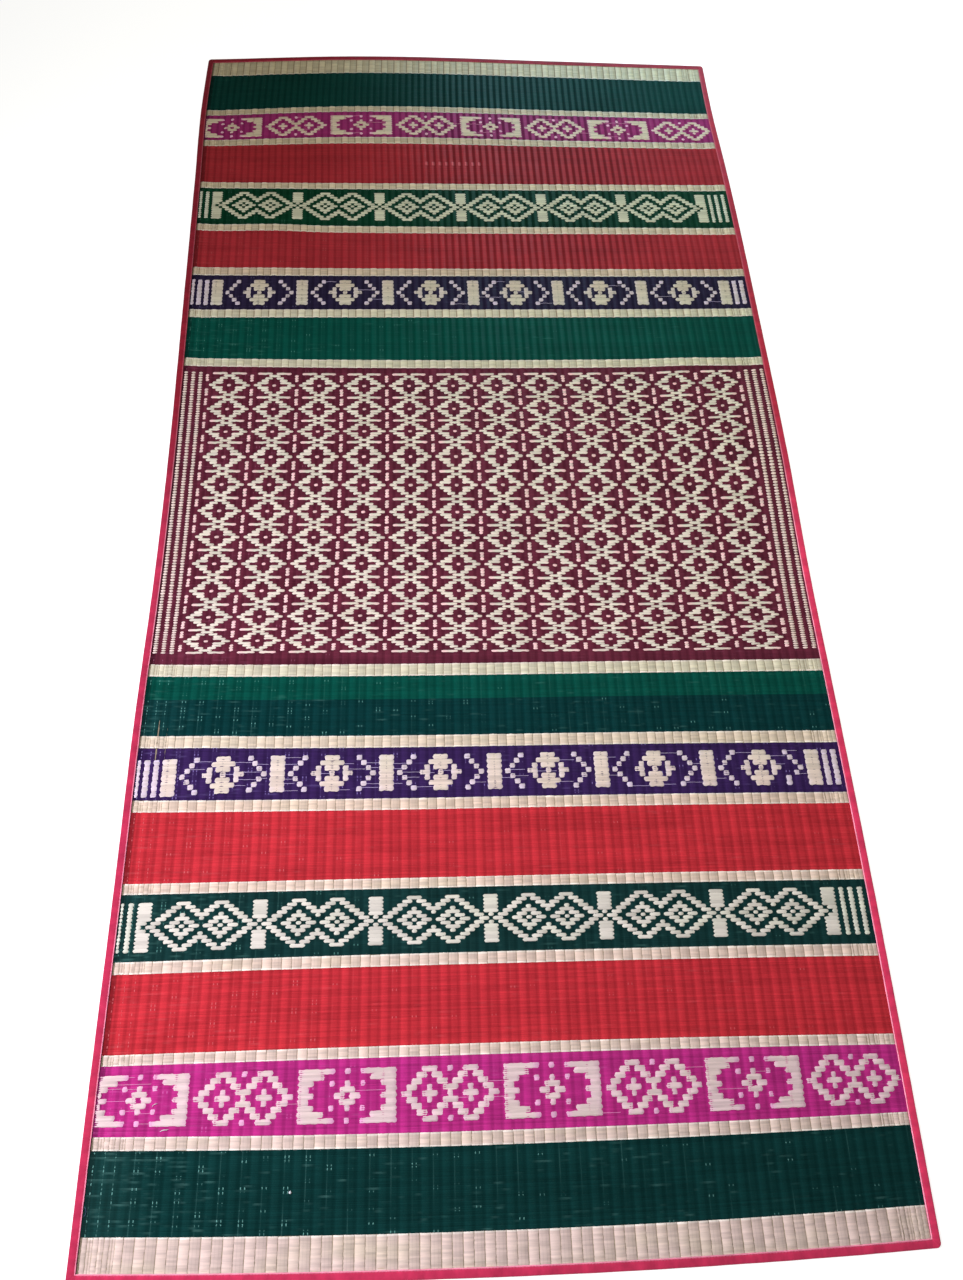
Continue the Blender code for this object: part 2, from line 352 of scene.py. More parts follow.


# For each dye: its material, the dye, the threads, how often they peep, how patchy, how much paler
# near the left tape
DYES = {key: dyed_grass(*values) for key, *values in (
    ("bottle", "far_bottle_green_dyed_sedge", "#0b3e38", "#5f9f92", 0.34),
    ("dark_green", "bottle_green_dyed_sedge", "#0e3533", "#7cb8ae", 0.40, 0.45, 0.02),
    ("green", "green_dyed_sedge", "#084d42", "#5fa396", 0.38),
    ("teal", "blue_green_dyed_sedge", "#0a3637", "#6faea6", 0.42, 0.45, 0.015),
    ("leaf", "leaf_green_dyed_sedge", "#093b26", "#5f9c8c", 0.38),
    ("deep", "deep_green_dyed_sedge", "#143433", "#6aa79d", 0.38, 0.45, 0.015),
    ("red", "red_dyed_sedge", "#c6323b", "#de7074", 0.40),
    ("brick", "brick_red_dyed_sedge", "#ac3038", "#c46a6a", 0.38),
    ("magenta", "magenta_dyed_sedge", "#bb2f80", "#e27ac0", 0.34),
    ("rose", "rose_dyed_sedge", "#a03070", "#c77aae", 0.36),
    ("purple", "purple_dyed_sedge", "#382354", "#9a86cc", 0.44),
    ("violet", "violet_dyed_sedge", "#2a223d", "#7a76a0", 0.36),
    ("maroon", "maroon_dyed_sedge", "#66283a", "#a8607f", 0.32, 0.9),
    ("cream", "natural_sedge", "#c7b397", "#d9c9ae", 0.3),
)}
print("dyes:", ", ".join(DYES))

# %% [markdown]
# Bare sedge isn't dyed. It dries to straw and cream, and every strand has its own tone, which a
# random number kept on each strand picks. Dyes bleed a little, so bare grass between red stripes is
# pinker than between green ones. A colour ramp along the mat holds these slow changes.

# %% Natural grass, strand by strand
TONES = ((0, "#d4cab0"), (80, "#d2c2a8"), (170, "#dccfb5"), (243, "#d4c0aa"), (297, "#dadbc4"),
         (576, "#dddac7"), (648, "#e5d0c2"), (900, "#e0cbc7"))     # strands from the far end


def natural_grass(name, groove, stain=None, wash=None, level=1.0, gap=0.84):
    """Undyed sedge strands. groove is how much painted shade lies between two ribs, from gap on.

    stain is the tone that dye from beside has bled in, where the stain attribute is high; on the
    bare stripes it is a painted highlight along the outer strands. wash is a slight tone over
    everything.
    """
    material, node, weave, (column, pick, own) = start_material(name)
    streak = uneven(node, weave, (0.3, 2.5, 1.0), 3.0, 0.6)
    patch = uneven(node, weave, (0.05, 0.05, 0.0), 2.0)
    shade = node("MULTIPLY_ADD", own, 0.24, node("MULTIPLY_ADD", streak, 0.45, 0.65))
    shade = node("MULTIPLY", shade, level)
    colour = node("tones", node("DIVIDE", pick, 900.0))
    stops = colour.node.color_ramp.elements
    stops.remove(stops[1])
    stops[0].color = linear(TONES[0][1])
    for strands, tone in TONES[1:]:
        stops.new(strands / 900.0).color = linear(tone)
    colour = node("mix", node("ease", patch, 0.45, 0.75, 0.0, 0.4), colour, linear("#d6cfb4"))
    if wash:
        colour = node("darken", 1.0, colour, linear(wash))
    if groove:
        across_pair = node("PINGPONG", column, 2.0)
        # Painted shade: the groove left of a full rib is drawn darker than the one to its right
        left_groove_shade = node("ease", node("PINGPONG", node("SUBTRACT", column, 1.0), 2.0),
                      0.5, 1.5, 1.0, 0.4)
        between = node("ease", node("PINGPONG", column, 1.0), gap, 1.0, 0.0, groove)
        colour = node("mix", node("MULTIPLY", between, left_groove_shade), colour, linear("#8f7a62"))
        # Painted shade and light: the flatter rib is drawn darker and the full rib lighter
        flatter = node("ease", across_pair, 0.8, 1.2, 0.91, 1.08)
        dent = node("ease", node("ABSOLUTE", node("SUBTRACT", across_pair, 0.38)),
                    0.04, 0.16, 0.93, 1.0)
        shade = node("MULTIPLY", shade, node("MULTIPLY", dent, flatter))
    if stain:
        bled = node("MULTIPLY", node("stain"), node("ease", own, 0.0, 1.0, 0.75, 1.0))
        colour = node("mix", bled, colour, linear(stain))
    return finished(material, {
        "Base Color": node("darken", 1.0, colour, shade), "Roughness": 0.5, "IOR": 1.45,
        "Normal": node("bump", 0.5, 0.5 * MM, streak), "Specular IOR Level": 0.25})


print("tones of bare grass along the mat:", [tone for strands, tone in TONES])

# %% [markdown]
# ## From numbers to meshes
#
# Thousands of strands would take too long one by one, so their points are worked out as arrays and
# turned into one mesh per dye. Each mesh also gets the weave attribute for its material and a flat
# UV map, so a baked picture of it has no overlaps.

# %% Mesh helpers
def grid_faces(rows, columns, first=0):
    """Four-sided faces of a grid of points, looking up when rows run up the mat."""
    j, i = np.meshgrid(np.arange(rows - 1), np.arange(columns - 1), indexing="ij")
    a = (first + j * columns + i).ravel()
    return np.stack([a, a + 1, a + columns + 1, a + columns], -1)


def merged(parts):
    """Several meshes as one: points, faces, and whatever else they have for each point."""
    points, faces, *others = zip(*parts)
    first = np.cumsum([0] + [len(part) for part in points])
    faces = [part + count for part, count in zip(faces, first)]
    return [np.concatenate(lists) for lists in (points, faces, *others)]


def make_piece(name, points, faces, weave, uv, stain=None, *, materials, slots=None,
               slot="dyed_grass"):
    """A mesh piece that rides on the mat, with its UV map, weave attribute and material slots."""
    mesh = bpy.data.meshes.new(name)
    mesh.from_pydata(np.asarray(points).tolist(), [], [list(map(int, f)) for f in faces])
    corners = np.empty(len(mesh.loops), np.int32)
    mesh.loops.foreach_get("vertex_index", corners)
    layer = mesh.uv_layers.new(name="OFBake")
    layer.data.foreach_set("uv", np.asarray(uv, np.float32)[corners].ravel())
    for attribute, kind, field, values in (("weave", "FLOAT_VECTOR", "vector", weave),
                                           ("stain", "FLOAT", "value", stain)):
        if values is not None:
            data = mesh.attributes.new(attribute, kind, "POINT").data
            data.foreach_set(field, np.asarray(values, np.float32).ravel())
    for material in materials:
        mesh.materials.append(material)
    if slots is not None:
        mesh.polygons.foreach_set("material_index", np.asarray(slots, np.int32))
    mesh.shade_smooth()
    mesh.update()
    piece = bpy.data.objects.new(name, mesh)
    bpy.context.scene.collection.objects.link(piece)
    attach(piece, "root")
    print(f"{name}: {len(mesh.loops) - 2 * len(mesh.polygons)} triangles")
    return piece


print("a grid of 3 by 4 points has", len(grid_faces(3, 4)), "faces")

# %% [markdown]
# ## The ribs
#
# The cotton warps pull the weft down in lines 11 mm apart, so the cloth is ribbed from end to end.
# Full, smooth ribs and flatter ones take turns, and close to the side tapes all are flat.

# %% Shape of the ribbed surface
LAP_RISE = 36.0             # the grass rises over a tape's lower flap from this far in
FREE_EDGE = 4.5             # beside a tape the grass gets its full thickness over this width


def column_at(across):
    """Across in millimetres to ribs: even numbers are crests and odd ones grooves."""
    return (across - TAPE_LAP) / PITCH - FIRST_CREST


def across_at(column):
    return TAPE_LAP + (column + FIRST_CREST) * PITCH


def off_crest(column):
    """0 on a crest and 1 in a groove."""
    return np.abs(column - 2 * np.round(column / 2))


def crest_height(column):
    """Height of the rib that this column belongs to."""
    crest = 2 * np.round(column / 2)
    full = (crest % 4 == 2) & (crest > SIDE_RIBS) & (crest <= LAST_RIB - SIDE_RIBS)
    return np.where(full, BRIGHT_RIB, DULL_RIB)


def rib_height(column):
    """Rounded ribs with narrow grooves between."""
    return crest_height(column) * (1 - off_crest(column) ** 2.4)


def edge_distance(across, along):
    side = np.minimum(across, WIDTH - across)
    return np.minimum(side, np.minimum(along, LENGTH - along))


def underside(across, along):
    """The grass rises over a tape's lower flap."""
    start = TAPE_LAP + GAP
    rise = ease((LAP_RISE - edge_distance(across, along)) / (LAP_RISE - start))
    return (TAPE_THICK + GAP) * rise


def grass_top(across, along, rib=None):
    """Height of the woven surface, or of another rib height, before the mat is laid."""
    rib = rib_height(column_at(across)) if rib is None else rib
    free = ease((edge_distance(across, along) - TAPE_LAP - GAP) / FREE_EDGE)
    return underside(across, along) + (PRESSED + free * (THICK - PRESSED + rib))


print("a full rib is", BRIGHT_RIB, "mm high on", PITCH * 2, "mm")

# %% [markdown]
# ## Stripes
#
# The stripes are listed from the far end: the dye of each and the place where it ends. Each is a
# strip of ribbed cloth, four points to a rib, and all strips of one dye make one piece.

# %% The order of the stripes
STRIPES = {
    "dye": ("cream", "bottle", "cream", "rose", "cream", "brick", "cream", "leaf", "cream",
            "brick", "cream", "violet", "cream", "green", "cream", "maroon", "cream", "green",
            "teal", "cream", "purple", "cream", "red", "cream", "deep", "cream", "red", "cream",
            "magenta", "cream", "dark_green", "cream"),
    "ends": (42, 128, 141.4, 204.2, 218.7, 305.5, 319.5, 403, 417.5,
             493.5, 509, 577, 593, 676.5, 691.5, 1171.5, 1188, 1220,
             1268.5, 1284, 1348.5, 1362.5, 1444, 1456, 1529, 1542, 1625, 1636.5,
             1711, 1724.5, 1802.5, 1840),
}
stripes = [{"dye": dye, "far": far, "near": near} for dye, far, near in
           zip(STRIPES["dye"], (3.0,) + STRIPES["ends"][:-1], STRIPES["ends"])]

quarter_ribs = np.arange(0, 2 * LAST_RIB + 1) / 2
# Points across the cloth: its edge, two lines under each side tape, and four to a rib between
weave_across = np.concatenate([[3.0, 8.8, 10.0], across_at(quarter_ribs), [874.8, 876.2, 882.0]])
PILLOW_ROOM = 0.40          # the cloth lies this much lower under the pillows of a bare stripe
UV_PAD = 4.0


def weave_place(across, along):
    """What the weave attribute says at these places."""
    return np.stack([column_at(across), (LENGTH - along) / PICK, 0 * across], -1).reshape(-1, 3)


def weave_dye(dye, row_step):
    """All the strips of one dye as one piece, side by side in its UV map."""
    chosen = [s for s in stripes if s["dye"] == dye]
    total = sum(s["near"] - s["far"] + UV_PAD for s in chosen)
    parts, used = [], UV_PAD / 2
    for stripe in chosen:
        near, far = LENGTH - stripe["near"], LENGTH - stripe["far"]
        rows = max(2, int(round((far - near) / row_step)) + 1)
        along, across = np.meshgrid(np.linspace(near, far, rows), weave_across, indexing="ij")
        top = grass_top(across, along) - (PILLOW_ROOM if dye == "cream" else 0.0)
        uv = np.stack([0.002 + 0.996 * across / WIDTH, (used + along - near) / total], -1)
        parts.append((lay(across, along, top).reshape(-1, 3), grid_faces(*across.shape),
                      weave_place(across, along), uv.reshape(-1, 2)))
        used += far - near + UV_PAD
    return make_piece(f"{dye}_weft", *merged(parts), materials=[DYES[dye]])


weft = {dye: weave_dye(dye, 9.0 if dye == "cream" else 4.1) for dye in DYES}

# %% [markdown]
# ## Strands of bare grass
#
# Wherever bare grass lies on top, strands come up beside a warp, run over a few columns side by
# side and dive again. Each such group is a small body of its own: one ridge for every strand with
# a shallow valley between, ends that sink into the cloth and skirts that close its long sides.
# All groups of a band have the same few points, so arrays can place thousands of them at once.

# %% Build groups of strands
chance = np.random.default_rng(11)


def section_lines(strands):
    """Across a group: place in strands from its middle, drop below the ridge, and whose it is."""
    if strands == 1:
        return [(-0.5, 0.30, 0), (-0.33, 0.07, 0), (0.0, 0.0, 0), (0.33, 0.07, 0), (0.5, 0.30, 0)]
    return [(i / 2 - strands / 2, 0.0 if i % 2 else 0.28, min(i // 2, strands - 1))
            for i in range(2 * strands + 1)]


def group_faces(groups, stations, lines):
    """Faces of many small grids with equal point counts."""
    first = (np.arange(groups) * stations * lines)[:, None]
    return np.concatenate([np.concatenate([a, a + lines, a + lines + 1, a + 1], 1)
                           for s in range(stations - 1) for i in range(lines - 1)
                           for a in [first + s * lines + i]])


def strand_groups(centre, pick_step, strands, start, stop, height, ends, closed_far=False,
                  closed_near=False, bulge=0.0, nudge=None, soak=0.0):
    """Points, faces, weave places, flat places and stain of many groups with equal point counts.

    centre, pick_step, start and stop have a value per group. height(column, across, along) is the
    surface that the ridges reach and ends how high each station stands, from 0 to 1.
    closed_far and closed_near say for each station whether a neighbour group touches there.
    nudge(across, along) moves places a little. soak is the stain at each station, and a group's
    ends take more.
    """
    groups = len(centre)
    section_of = section_lines(strands)
    lines = len(section_of)
    tone = chance.uniform(0, 1, (groups, strands))
    wobble = chance.normal(0, 0.045, (groups, strands)) * (strands > 1)
    thick = chance.normal(0, 0.05, (groups, strands))
    ragged = ends.get("ragged", 0.05)
    end_jitter = chance.uniform(-ragged, ragged, (groups, strands, 2))
    at, shift, rise = (np.array(ends[key])[None, :] for key in ("at", "shift", "rise"))
    found = []
    for line, (off, drop, nearest) in enumerate(section_of):
        pull = ends["pull"] * (2 * off / strands) ** 2
        begin = start + pull + end_jitter[:, nearest, 0]
        finish = stop - pull + end_jitter[:, nearest, 1]
        column = begin[:, None] + (finish - begin)[:, None] * at + shift * (1 - 2 * (at > 0.5))
        across = across_at(column)
        side = centre[:, None] + off * pick_step[:, None]
        if 0 < line < lines - 1:
            side = side + wobble[:, nearest, None]
        side = side + 0 * across
        if nudge:
            across, side = nudge(across, side)
        top = height(column, across, side) + thick[:, nearest, None]
        ground = grass_top(across, side) - 0.2      # where a strand's ends have dived to
        z = ground + (top - drop - ground) * rise
        if line in (0, lines - 1):
            closed = closed_near if line == 0 else closed_far
            side = side + bulge_of(column, bulge) * (-1 if line == 0 else 1)
            z = np.where(closed, z, ground + 0.05 * rise)
        inwards = np.minimum(column - start[:, None], stop[:, None] - column)
        bled = soak + 0.45 * np.exp(-np.clip(inwards, 0, None) / 0.4)
        found.append((lay(across, side, z),
                      np.stack([column, (LENGTH - side) / PICK,
                                tone[:, nearest, None] + 0 * column], -1),
                      np.stack([across, side], -1), np.clip(bled, 0, 1)[..., None]))
    points, weave, flat, stain = (np.stack(part, 2).reshape(-1, part[0].shape[-1])
                                  for part in zip(*found))
    return points, group_faces(groups, len(ends["at"]), lines), weave, flat, stain


def bulge_of(column, bulge):
    """Full ribs push the edge of a stripe out a little, most at their middle."""
    return bulge * (crest_height(column) - 0.3) * (1 - off_crest(column) ** 2) if bulge else 0.0


print("every strand takes its own shade and a small shift from one fixed row of random numbers")

# %% [markdown]
# ## Bare stripes
#
# Between two dyed stripes lie a few picks of bare grass. Seen close, such a stripe is a row of
# small pillows, one to each rib, with a line where the warp pulls them down that is painted
# darker as shade, and a painted highlight along the outer strands. Near the side tapes every warp
# column has a pillow of its own.

# %% Pillows of the bare stripes
left_side = list(range(0, SIDE_RIBS + 1))
right_side = list(range(LAST_RIB - SIDE_RIBS + 1, LAST_RIB + 1))
ribs = ([(k - 0.5, k + 0.5) for k in left_side] + [(5.5, 7.0)]
        + [(k - 1.0, k + 1.0) for k in range(8, LAST_RIB - SIDE_RIBS, 2)]
        + [(LAST_RIB - SIDE_RIBS, LAST_RIB - SIDE_RIBS + 0.5)]
        + [(k - 0.5, k + 0.5) for k in right_side])
rib_start, rib_stop = np.array(ribs).T
PILLOW = {"at": (0.0, 0.07, 0.5, 0.93, 1.0), "shift": (0, 0, 0, 0, 0),
          "rise": (0.0, 0.80, 1.0, 0.80, 0.0), "pull": 0.0}


def pillow_height(column, across, along):
    """Pillows follow the ribs and stand a little proud of them."""
    return grass_top(across, along) + PROUD


def bare_stripe(stripe):
    """All pillows of one bare stripe."""
    picks = max(3, int(round((stripe["near"] - stripe["far"]) / PICK)))
    count = len(ribs)
    middle = LENGTH - (stripe["near"] + stripe["far"]) / 2
    centre = middle + chance.normal(0, 0.2, count)
    step = (stripe["near"] - stripe["far"]) / picks * chance.normal(1.0, 0.006, count)
    points, faces, weave, flat, _ = strand_groups(
        centre, step, picks, rib_start + 0.04, rib_stop - 0.04, pillow_height, PILLOW, bulge=0.9)
    rim_highlight = np.zeros((count, len(PILLOW["at"]), 2 * picks + 1))
    rim_highlight[..., [0, 1, -2, -1]] = 1.0          # painted highlight: the outer strands are drawn paler, as if catching the light
    return points, faces, weave, flat, rim_highlight.reshape(-1, 1)


def flat_uv(flat, bands, pad):
    """Flat places to a UV map, with the bands packed below each other."""
    total = sum(near - far for far, near in bands) + 2 * pad * len(bands)
    from_far = LENGTH - flat[:, 1]
    v = np.zeros(len(flat))
    used = 0.0
    for far, near in bands:
        inside = (from_far > far - pad) & (from_far < near + pad)
        v[inside] = (used + pad + from_far[inside] - far) / total
        used += near - far + 2 * pad
    return np.stack([0.002 + 0.996 * flat[:, 0] / WIDTH, 0.001 + 0.998 * v], -1)


# Both materials paint shade into the grooves, more of it on the far stripes, and a highlight where
# the stain attribute marks the outer strands
for name, is_far, grass in (
        ("far", True, natural_grass("natural_sedge_far_stripes", groove=0.85, stain="#e6dcd0",
                                    wash="#fdfaf5", gap=0.70)),
        ("near", False, natural_grass("natural_sedge_stripes", groove=0.62, stain="#ece0d4",
                                      wash="#f6f1e9"))):
    chosen = [s for s in stripes if s["dye"] == "cream" and (s["near"] < 600) == is_far]
    points, faces, weave, flat, stain = merged([bare_stripe(s) for s in chosen])
    uv = flat_uv(flat, [(s["far"], s["near"]) for s in chosen], pad=1.9)
    make_piece(f"bare_stripes_{name}", points, faces, weave, uv, stain,
                                  materials=[grass])

# %% [markdown]
# ## Charts of the figured bands
#
# The figures are woven from charts, as a weaver reads them: a hash is bare grass on top and a dot
# is the dyed ground. Only the upper half of a figure is drawn, because the lower half mirrors it.
# Stars in brackets and diamonds with crosses take turns in the magenta bands. Bars and small
# figures repeat in the green and purple bands, and rows of small diamonds fill the field.

# %% The charts
STAR = ("#######..#..#######", "#####.........#####", "###...#..#..#...###",
        "##......###......##", "###....##.##....###")
CROSS = ("....###..#..###....", "...##.##...##.##...", "..##...##.##...##..",
         ".##..#..###..#..##.", "##..###..#..###..##")
GREEN_BAND = ("###.....###.....###.....", "###....##.##...##.##....",
              "###...##...##.##...##...", "###..##..#..###..#..##..",
              "###.##..###..#..###..##.", ".#.##..##.##...##.##..##",
              "#.##..##.#.##.##.#.##..#")
PURPLE_BAND = ("###....#....###....#....", "###...#....#####....#...",
               "###..#....#.###.#....#..", "###.#....##..#..##....#.")
DIAMONDS = (".####.####..", "....###....#", "...##.##...#", "..##...##..#", ".###...###..",
            "##...#...##.")
FIRST = -1                  # the column that starts under the left tape


def mirrored(chart):
    """The upper half of a chart with its mirror image below."""
    return list(chart) + list(chart[-2::-1])


# What each band draws and where its repeats start, then the columns beside the side tapes that
# are dyed all along, and those that are bare
DRAWINGS = {
    "magenta": (((mirrored(STAR), range(-2, 120, 40)), (mirrored(CROSS), range(18, 140, 40))),
                (), ()),
    "green": (((mirrored(GREEN_BAND), range(3, 150, 24)),),
              (0, 2, 150, 152, 154, 156), (-1, 1, 3, 149, 151, 153, 155)),
    "purple": (((mirrored(PURPLE_BAND), range(5, 150, 24)),),
               (0, 2, 4, 152, 154, 156), (-1, 1, 3, 153, 155)),
    "field": (((mirrored(DIAMONDS)[:-1] * 11 + [DIAMONDS[0]], range(-5, 140, 12)),),
              (-1, 1, 2, 3, 5, 151, 152, 153, 155), (0, 2, 4, 152, 154, 156)),
}


def grid_of(drawing):
    """The cells of a band, true where bare grass lies on top. Charts are cut off at its sides."""
    charts, dyed, bare = DRAWINGS[drawing]
    grid = np.zeros((len(charts[0][0]), LAST_RIB + 1 - FIRST), bool)
    for chart, starts in charts:
        for start in starts:
            for place, marks in enumerate(zip(*chart), start - FIRST):
                if 0 <= place < grid.shape[1]:
                    grid[:, place] = [mark == "#" for mark in marks]
    grid[:, np.array(dyed, int) - FIRST] = False
    grid[:, np.array(bare, int) - FIRST] = True
    return grid


print("field rows:", len(grid_of("field")))

# %% [markdown]
# Each figured band has its chart, the number of strands to a chart row, and the places of its
# first and last row. In the field the weaver's beat changed now and then, so the diamonds are not
# all equally tall, and twelve measured rows keep that.

# %% The figured bands
# Every tenth row of the field, measured
FIELD_ROWS = (705, 748, 789, 827, 877, 923, 965, 1004.5, 1046, 1086.5, 1123, 1155)
BANDS = {}
for name, figure, drawing, far, near in (
        ("far_magenta", "pale_magenta", "magenta", 150.6, 198.1),
        ("far_green", "green", "green", 327.9, 390.2),
        ("far_purple", "purple", "purple", 517.8, 568.0),
        ("field", "field", "field", FIELD_ROWS[0], FIELD_ROWS[-1]),
        ("near_purple", "purple", "purple", 1293.2, 1339.3),
        ("near_green", "green", "green", 1464.6, 1519.0),
        ("near_magenta", "magenta", "magenta", 1646.0, 1701.0)):
    grid = grid_of(drawing)
    middles = np.arange(len(grid)) + 0.5
    BANDS[name] = {"figure": figure, "grid": grid, "rows": far + (near - far) / len(grid) * middles}
BANDS["field"]["rows"] = np.interp(np.arange(111), np.arange(0, 111, 10), FIELD_ROWS)

# Strands to a row, how far a short and a long float reach past half a column, how much shorter
# their outer sides are, how ragged their ends, and the tones that the dye beside has given them
FIGURE_WORDS = ("strands", "short", "long", "pull", "ragged", "stain", "wash", "level")
FIGURES = {name: dict(zip(FIGURE_WORDS, values)) for name, values in {
    "magenta": (3, 0.10, 0.14, 0.22, 0.10, "#eaa6cf", "#fff9ff", 0.95),
    "pale_magenta": (3, 0.03, 0.06, 0.32, 0.10, "#eab0d0", "#ffffff", 1.12),
    "green": (1, 0.14, 0.18, 0.42, 0.05, "#d0d2c2", "#f1ffff", 1.00),
    "purple": (3, 0.20, 0.22, 0.22, 0.07, "#d8c8dc", "#ffffff", 0.94),
    "field": (1, 0.08, 0.11, 0.40, 0.06, "#f0c2c4", "#fffaff", 1.06),
}.items()}
slip = BANDS["near_purple"]["grid"]     # one dot that the weaver set a column too far left
slip[5, 145 - FIRST], slip[5, 144 - FIRST] = False, True
print("cells of bare grass:", {name: int(band["grid"].sum()) for name, band in BANDS.items()})

# %% [markdown]
# A run of hashes in a row becomes one group of strands. It lies straight from crest to crest, so
# it bridges the grooves. A one-column run comes out as a small round pearl, because its outer
# strands are a little shorter than the middle one.

# %% Float the bare strands over the ground
# The field was woven a little narrower than the rest, and its rows bend
FIELD_SHIFT = {
    "across": (0, 20, 45, 65, 95, 130, 170, 215, 300, 360, 440, 530, 660, 750, 800, 840, 855, 885),
    "shift": (0, -0.5, -1.8, -3.2, -2.9, -3.1, -3.4, -4.0, -3.9, -4.3, -6.2, -6.6, -5.8, -4.9,
              -4.4, -4.4, -3.2, 0),
}
FIELD_BEND = {
    "across": (40, 130, 260, 440, 530, 600, 700, 790, 850),
    "from_far": (690, 745, 840, 930, 1020, 1120, 1165),
    "along": ((1.0, 1.6, 1.9, 4.1, 0.8, 0.0, 0.0), (1.0, 1.6, 1.6, 3.7, 0.8, 1.6, 0.8),
              (1.0, 1.6, 2.2, 1.8, 1.6, 3.2, 1.6), (1.6, 2.4, 1.6, 0.8, -0.8, 0.8, 0.4),
              (2.0, 3.2, 2.6, 0.9, -3.2, 0.0, 0.0), (1.6, 2.4, 2.6, -0.6, -4.8, -0.8, -0.4),
              (1.6, 2.4, 2.4, -0.3, -4.0, -0.8, -0.4), (2.0, 3.2, 4.5, 1.8, -2.4, 0.0, 0.0),
              (3.0, 5.6, 6.4, 3.7, -1.6, 0.0, 0.0)),
}


def field_nudge(across, along):
    bend = sum(np.interp(across, FIELD_BEND["across"], share)
               * np.interp(LENGTH - along, FIELD_BEND["from_far"], line)
               for share, line in zip(np.eye(len(FIELD_BEND["along"])), FIELD_BEND["along"]))
    return across + smooth(FIELD_SHIFT, "across", "shift", across), along + bend


# The other bands were beaten up askew beside the left tape: how far their left end is moved
# across and along, and over which width
SKEW = {"far_magenta": (3.2, 0.0, 150), "far_green": (3.2, 0.0, 150),
        "far_purple": (3.2, 0.0, 150), "near_purple": (2.6, -6.0, 160),
        "near_green": (2.2, -0.6, 120), "near_magenta": (2.8, 0.0, 70)}


def band_nudge(name):
    """The function that moves places of a band."""
    if name == "field":
        return field_nudge
    sideways, lengthways, width = SKEW[name]
    slant = 0.6 if name == "near_magenta" else 0.0      # its first star lies aslant

    def nudge(across, along):
        share = ease(1 - across / width)
        turned = slant * ease(1 - across / 70) * ease((along - 130) / 60)
        return across + sideways * share, along + lengthways * share - turned

    return nudge


FLOATS = {
    "short": {"at": (0.0, 0.0, 0.5, 1.0, 1.0), "shift": (0, 0.22, 0, 0.22, 0),
              "rise": (0.0, 0.82, 1.0, 0.82, 0.0)},
    "long": {"at": (0.0, 0.0, 0.2, 0.5, 0.8, 1.0, 1.0), "shift": (0, 0.22, 0, 0, 0, 0.22, 0),
             "rise": (0.0, 0.85, 1.0, 1.0, 1.0, 0.85, 0.0)},
}


def float_height(column, across, along):
    """Floats lie straight at the height of the full ribs, and lower close to a tape."""
    return grass_top(across, along, BRIGHT_RIB + PROUD)


def runs_of(grid):
    """Row, first and last column of each run of bare cells."""
    rows = []
    for r, line in enumerate(grid):
        edges = np.flatnonzero(np.diff(np.concatenate([[0], line.astype(int), [0]])))
        rows += [(r, a + FIRST, b - 1 + FIRST) for a, b in zip(edges[::2], edges[1::2])]
    return np.array(rows)


def float_band(name, band):
    """The groups of strands of one figured band."""
    grid, rows, figure = band["grid"], band["rows"], FIGURES[band["figure"]]
    pitch = np.gradient(rows)
    padded = np.pad(grid, ((1, 1), (0, 0)))
    # Dye bleeds in from dyed neighbours, so a lonely cell is stained most
    dyed = np.pad(~grid, 1, constant_values=True).astype(float)
    around = sum(dyed[1 + a:dyed.shape[0] - 1 + a, 1 + b:dyed.shape[1] - 1 + b]
                 for a in (-1, 0, 1) for b in (-1, 0, 1)) / 8
    runs = runs_of(grid)
    length = runs[:, 2] - runs[:, 1] + 1
    parts = []
    # Lines along the field's sides are rows of fat pearls
    lined = np.isin(runs[:, 1], (0, 2, 4, 152, 154, 156)) & (length == 1) & (name == "field")
    for kind, chosen, pearls in (("short", (length < 3) & ~lined, False),
                                 ("long", length >= 3, False), ("short", lined, True)):
        if not chosen.any():
            continue
        shape = FLOATS[kind]
        r, first, last = runs[chosen].T
        reach = 0.5 + np.where(last > first, figure["long"], 0.14 if pearls else figure["short"])
        # The bars beside the left tape come out from under it
        hidden = 0.93 + (SKEW[name][0] / PITCH if name in SKEW else 0.0)
        start = np.maximum(first - reach, -hidden)
        stop = np.minimum(last + reach, LAST_RIB + 0.53)
        pull = 0.45 if pearls else figure["pull"] * (0.6 if kind == "short" else 1.0)
        column = start[:, None] + (stop - start)[:, None] * np.array(shape["at"])[None, :]
        cell = np.clip(np.round(column).astype(int), first[:, None], last[:, None]) - FIRST
        far_side, near_side = (padded[r[:, None] + beside, cell] & (not pearls)
                               for beside in (0, 2))
        step = pitch[r] / figure["strands"] * (0.9 if pearls else 1.0)
        soak = ease((around[r[:, None], cell] - 0.5) / 0.4) * (0.3 if pearls else 0.8)
        parts.append(strand_groups(
            LENGTH - rows[r], step, figure["strands"], start, stop, float_height,
            dict(shape, pull=pull, ragged=figure["ragged"]), far_side, near_side,
            nudge=band_nudge(name), soak=soak))
    return merged(parts)


floats = {name: natural_grass(f"natural_sedge_floats_on_{name}", 0.0, figure["stain"],
                              figure["wash"], figure["level"])
          for name, figure in FIGURES.items()}
for name, band in BANDS.items():
    points, faces, weave, flat, stain = float_band(name, band)
    uv = flat_uv(flat, [(band["rows"][0] - 4, band["rows"][-1] + 4)], pad=1.0)
    make_piece(f"{name}_figures", points, faces, weave, uv, stain,
                                   materials=[floats[band["figure"]]])
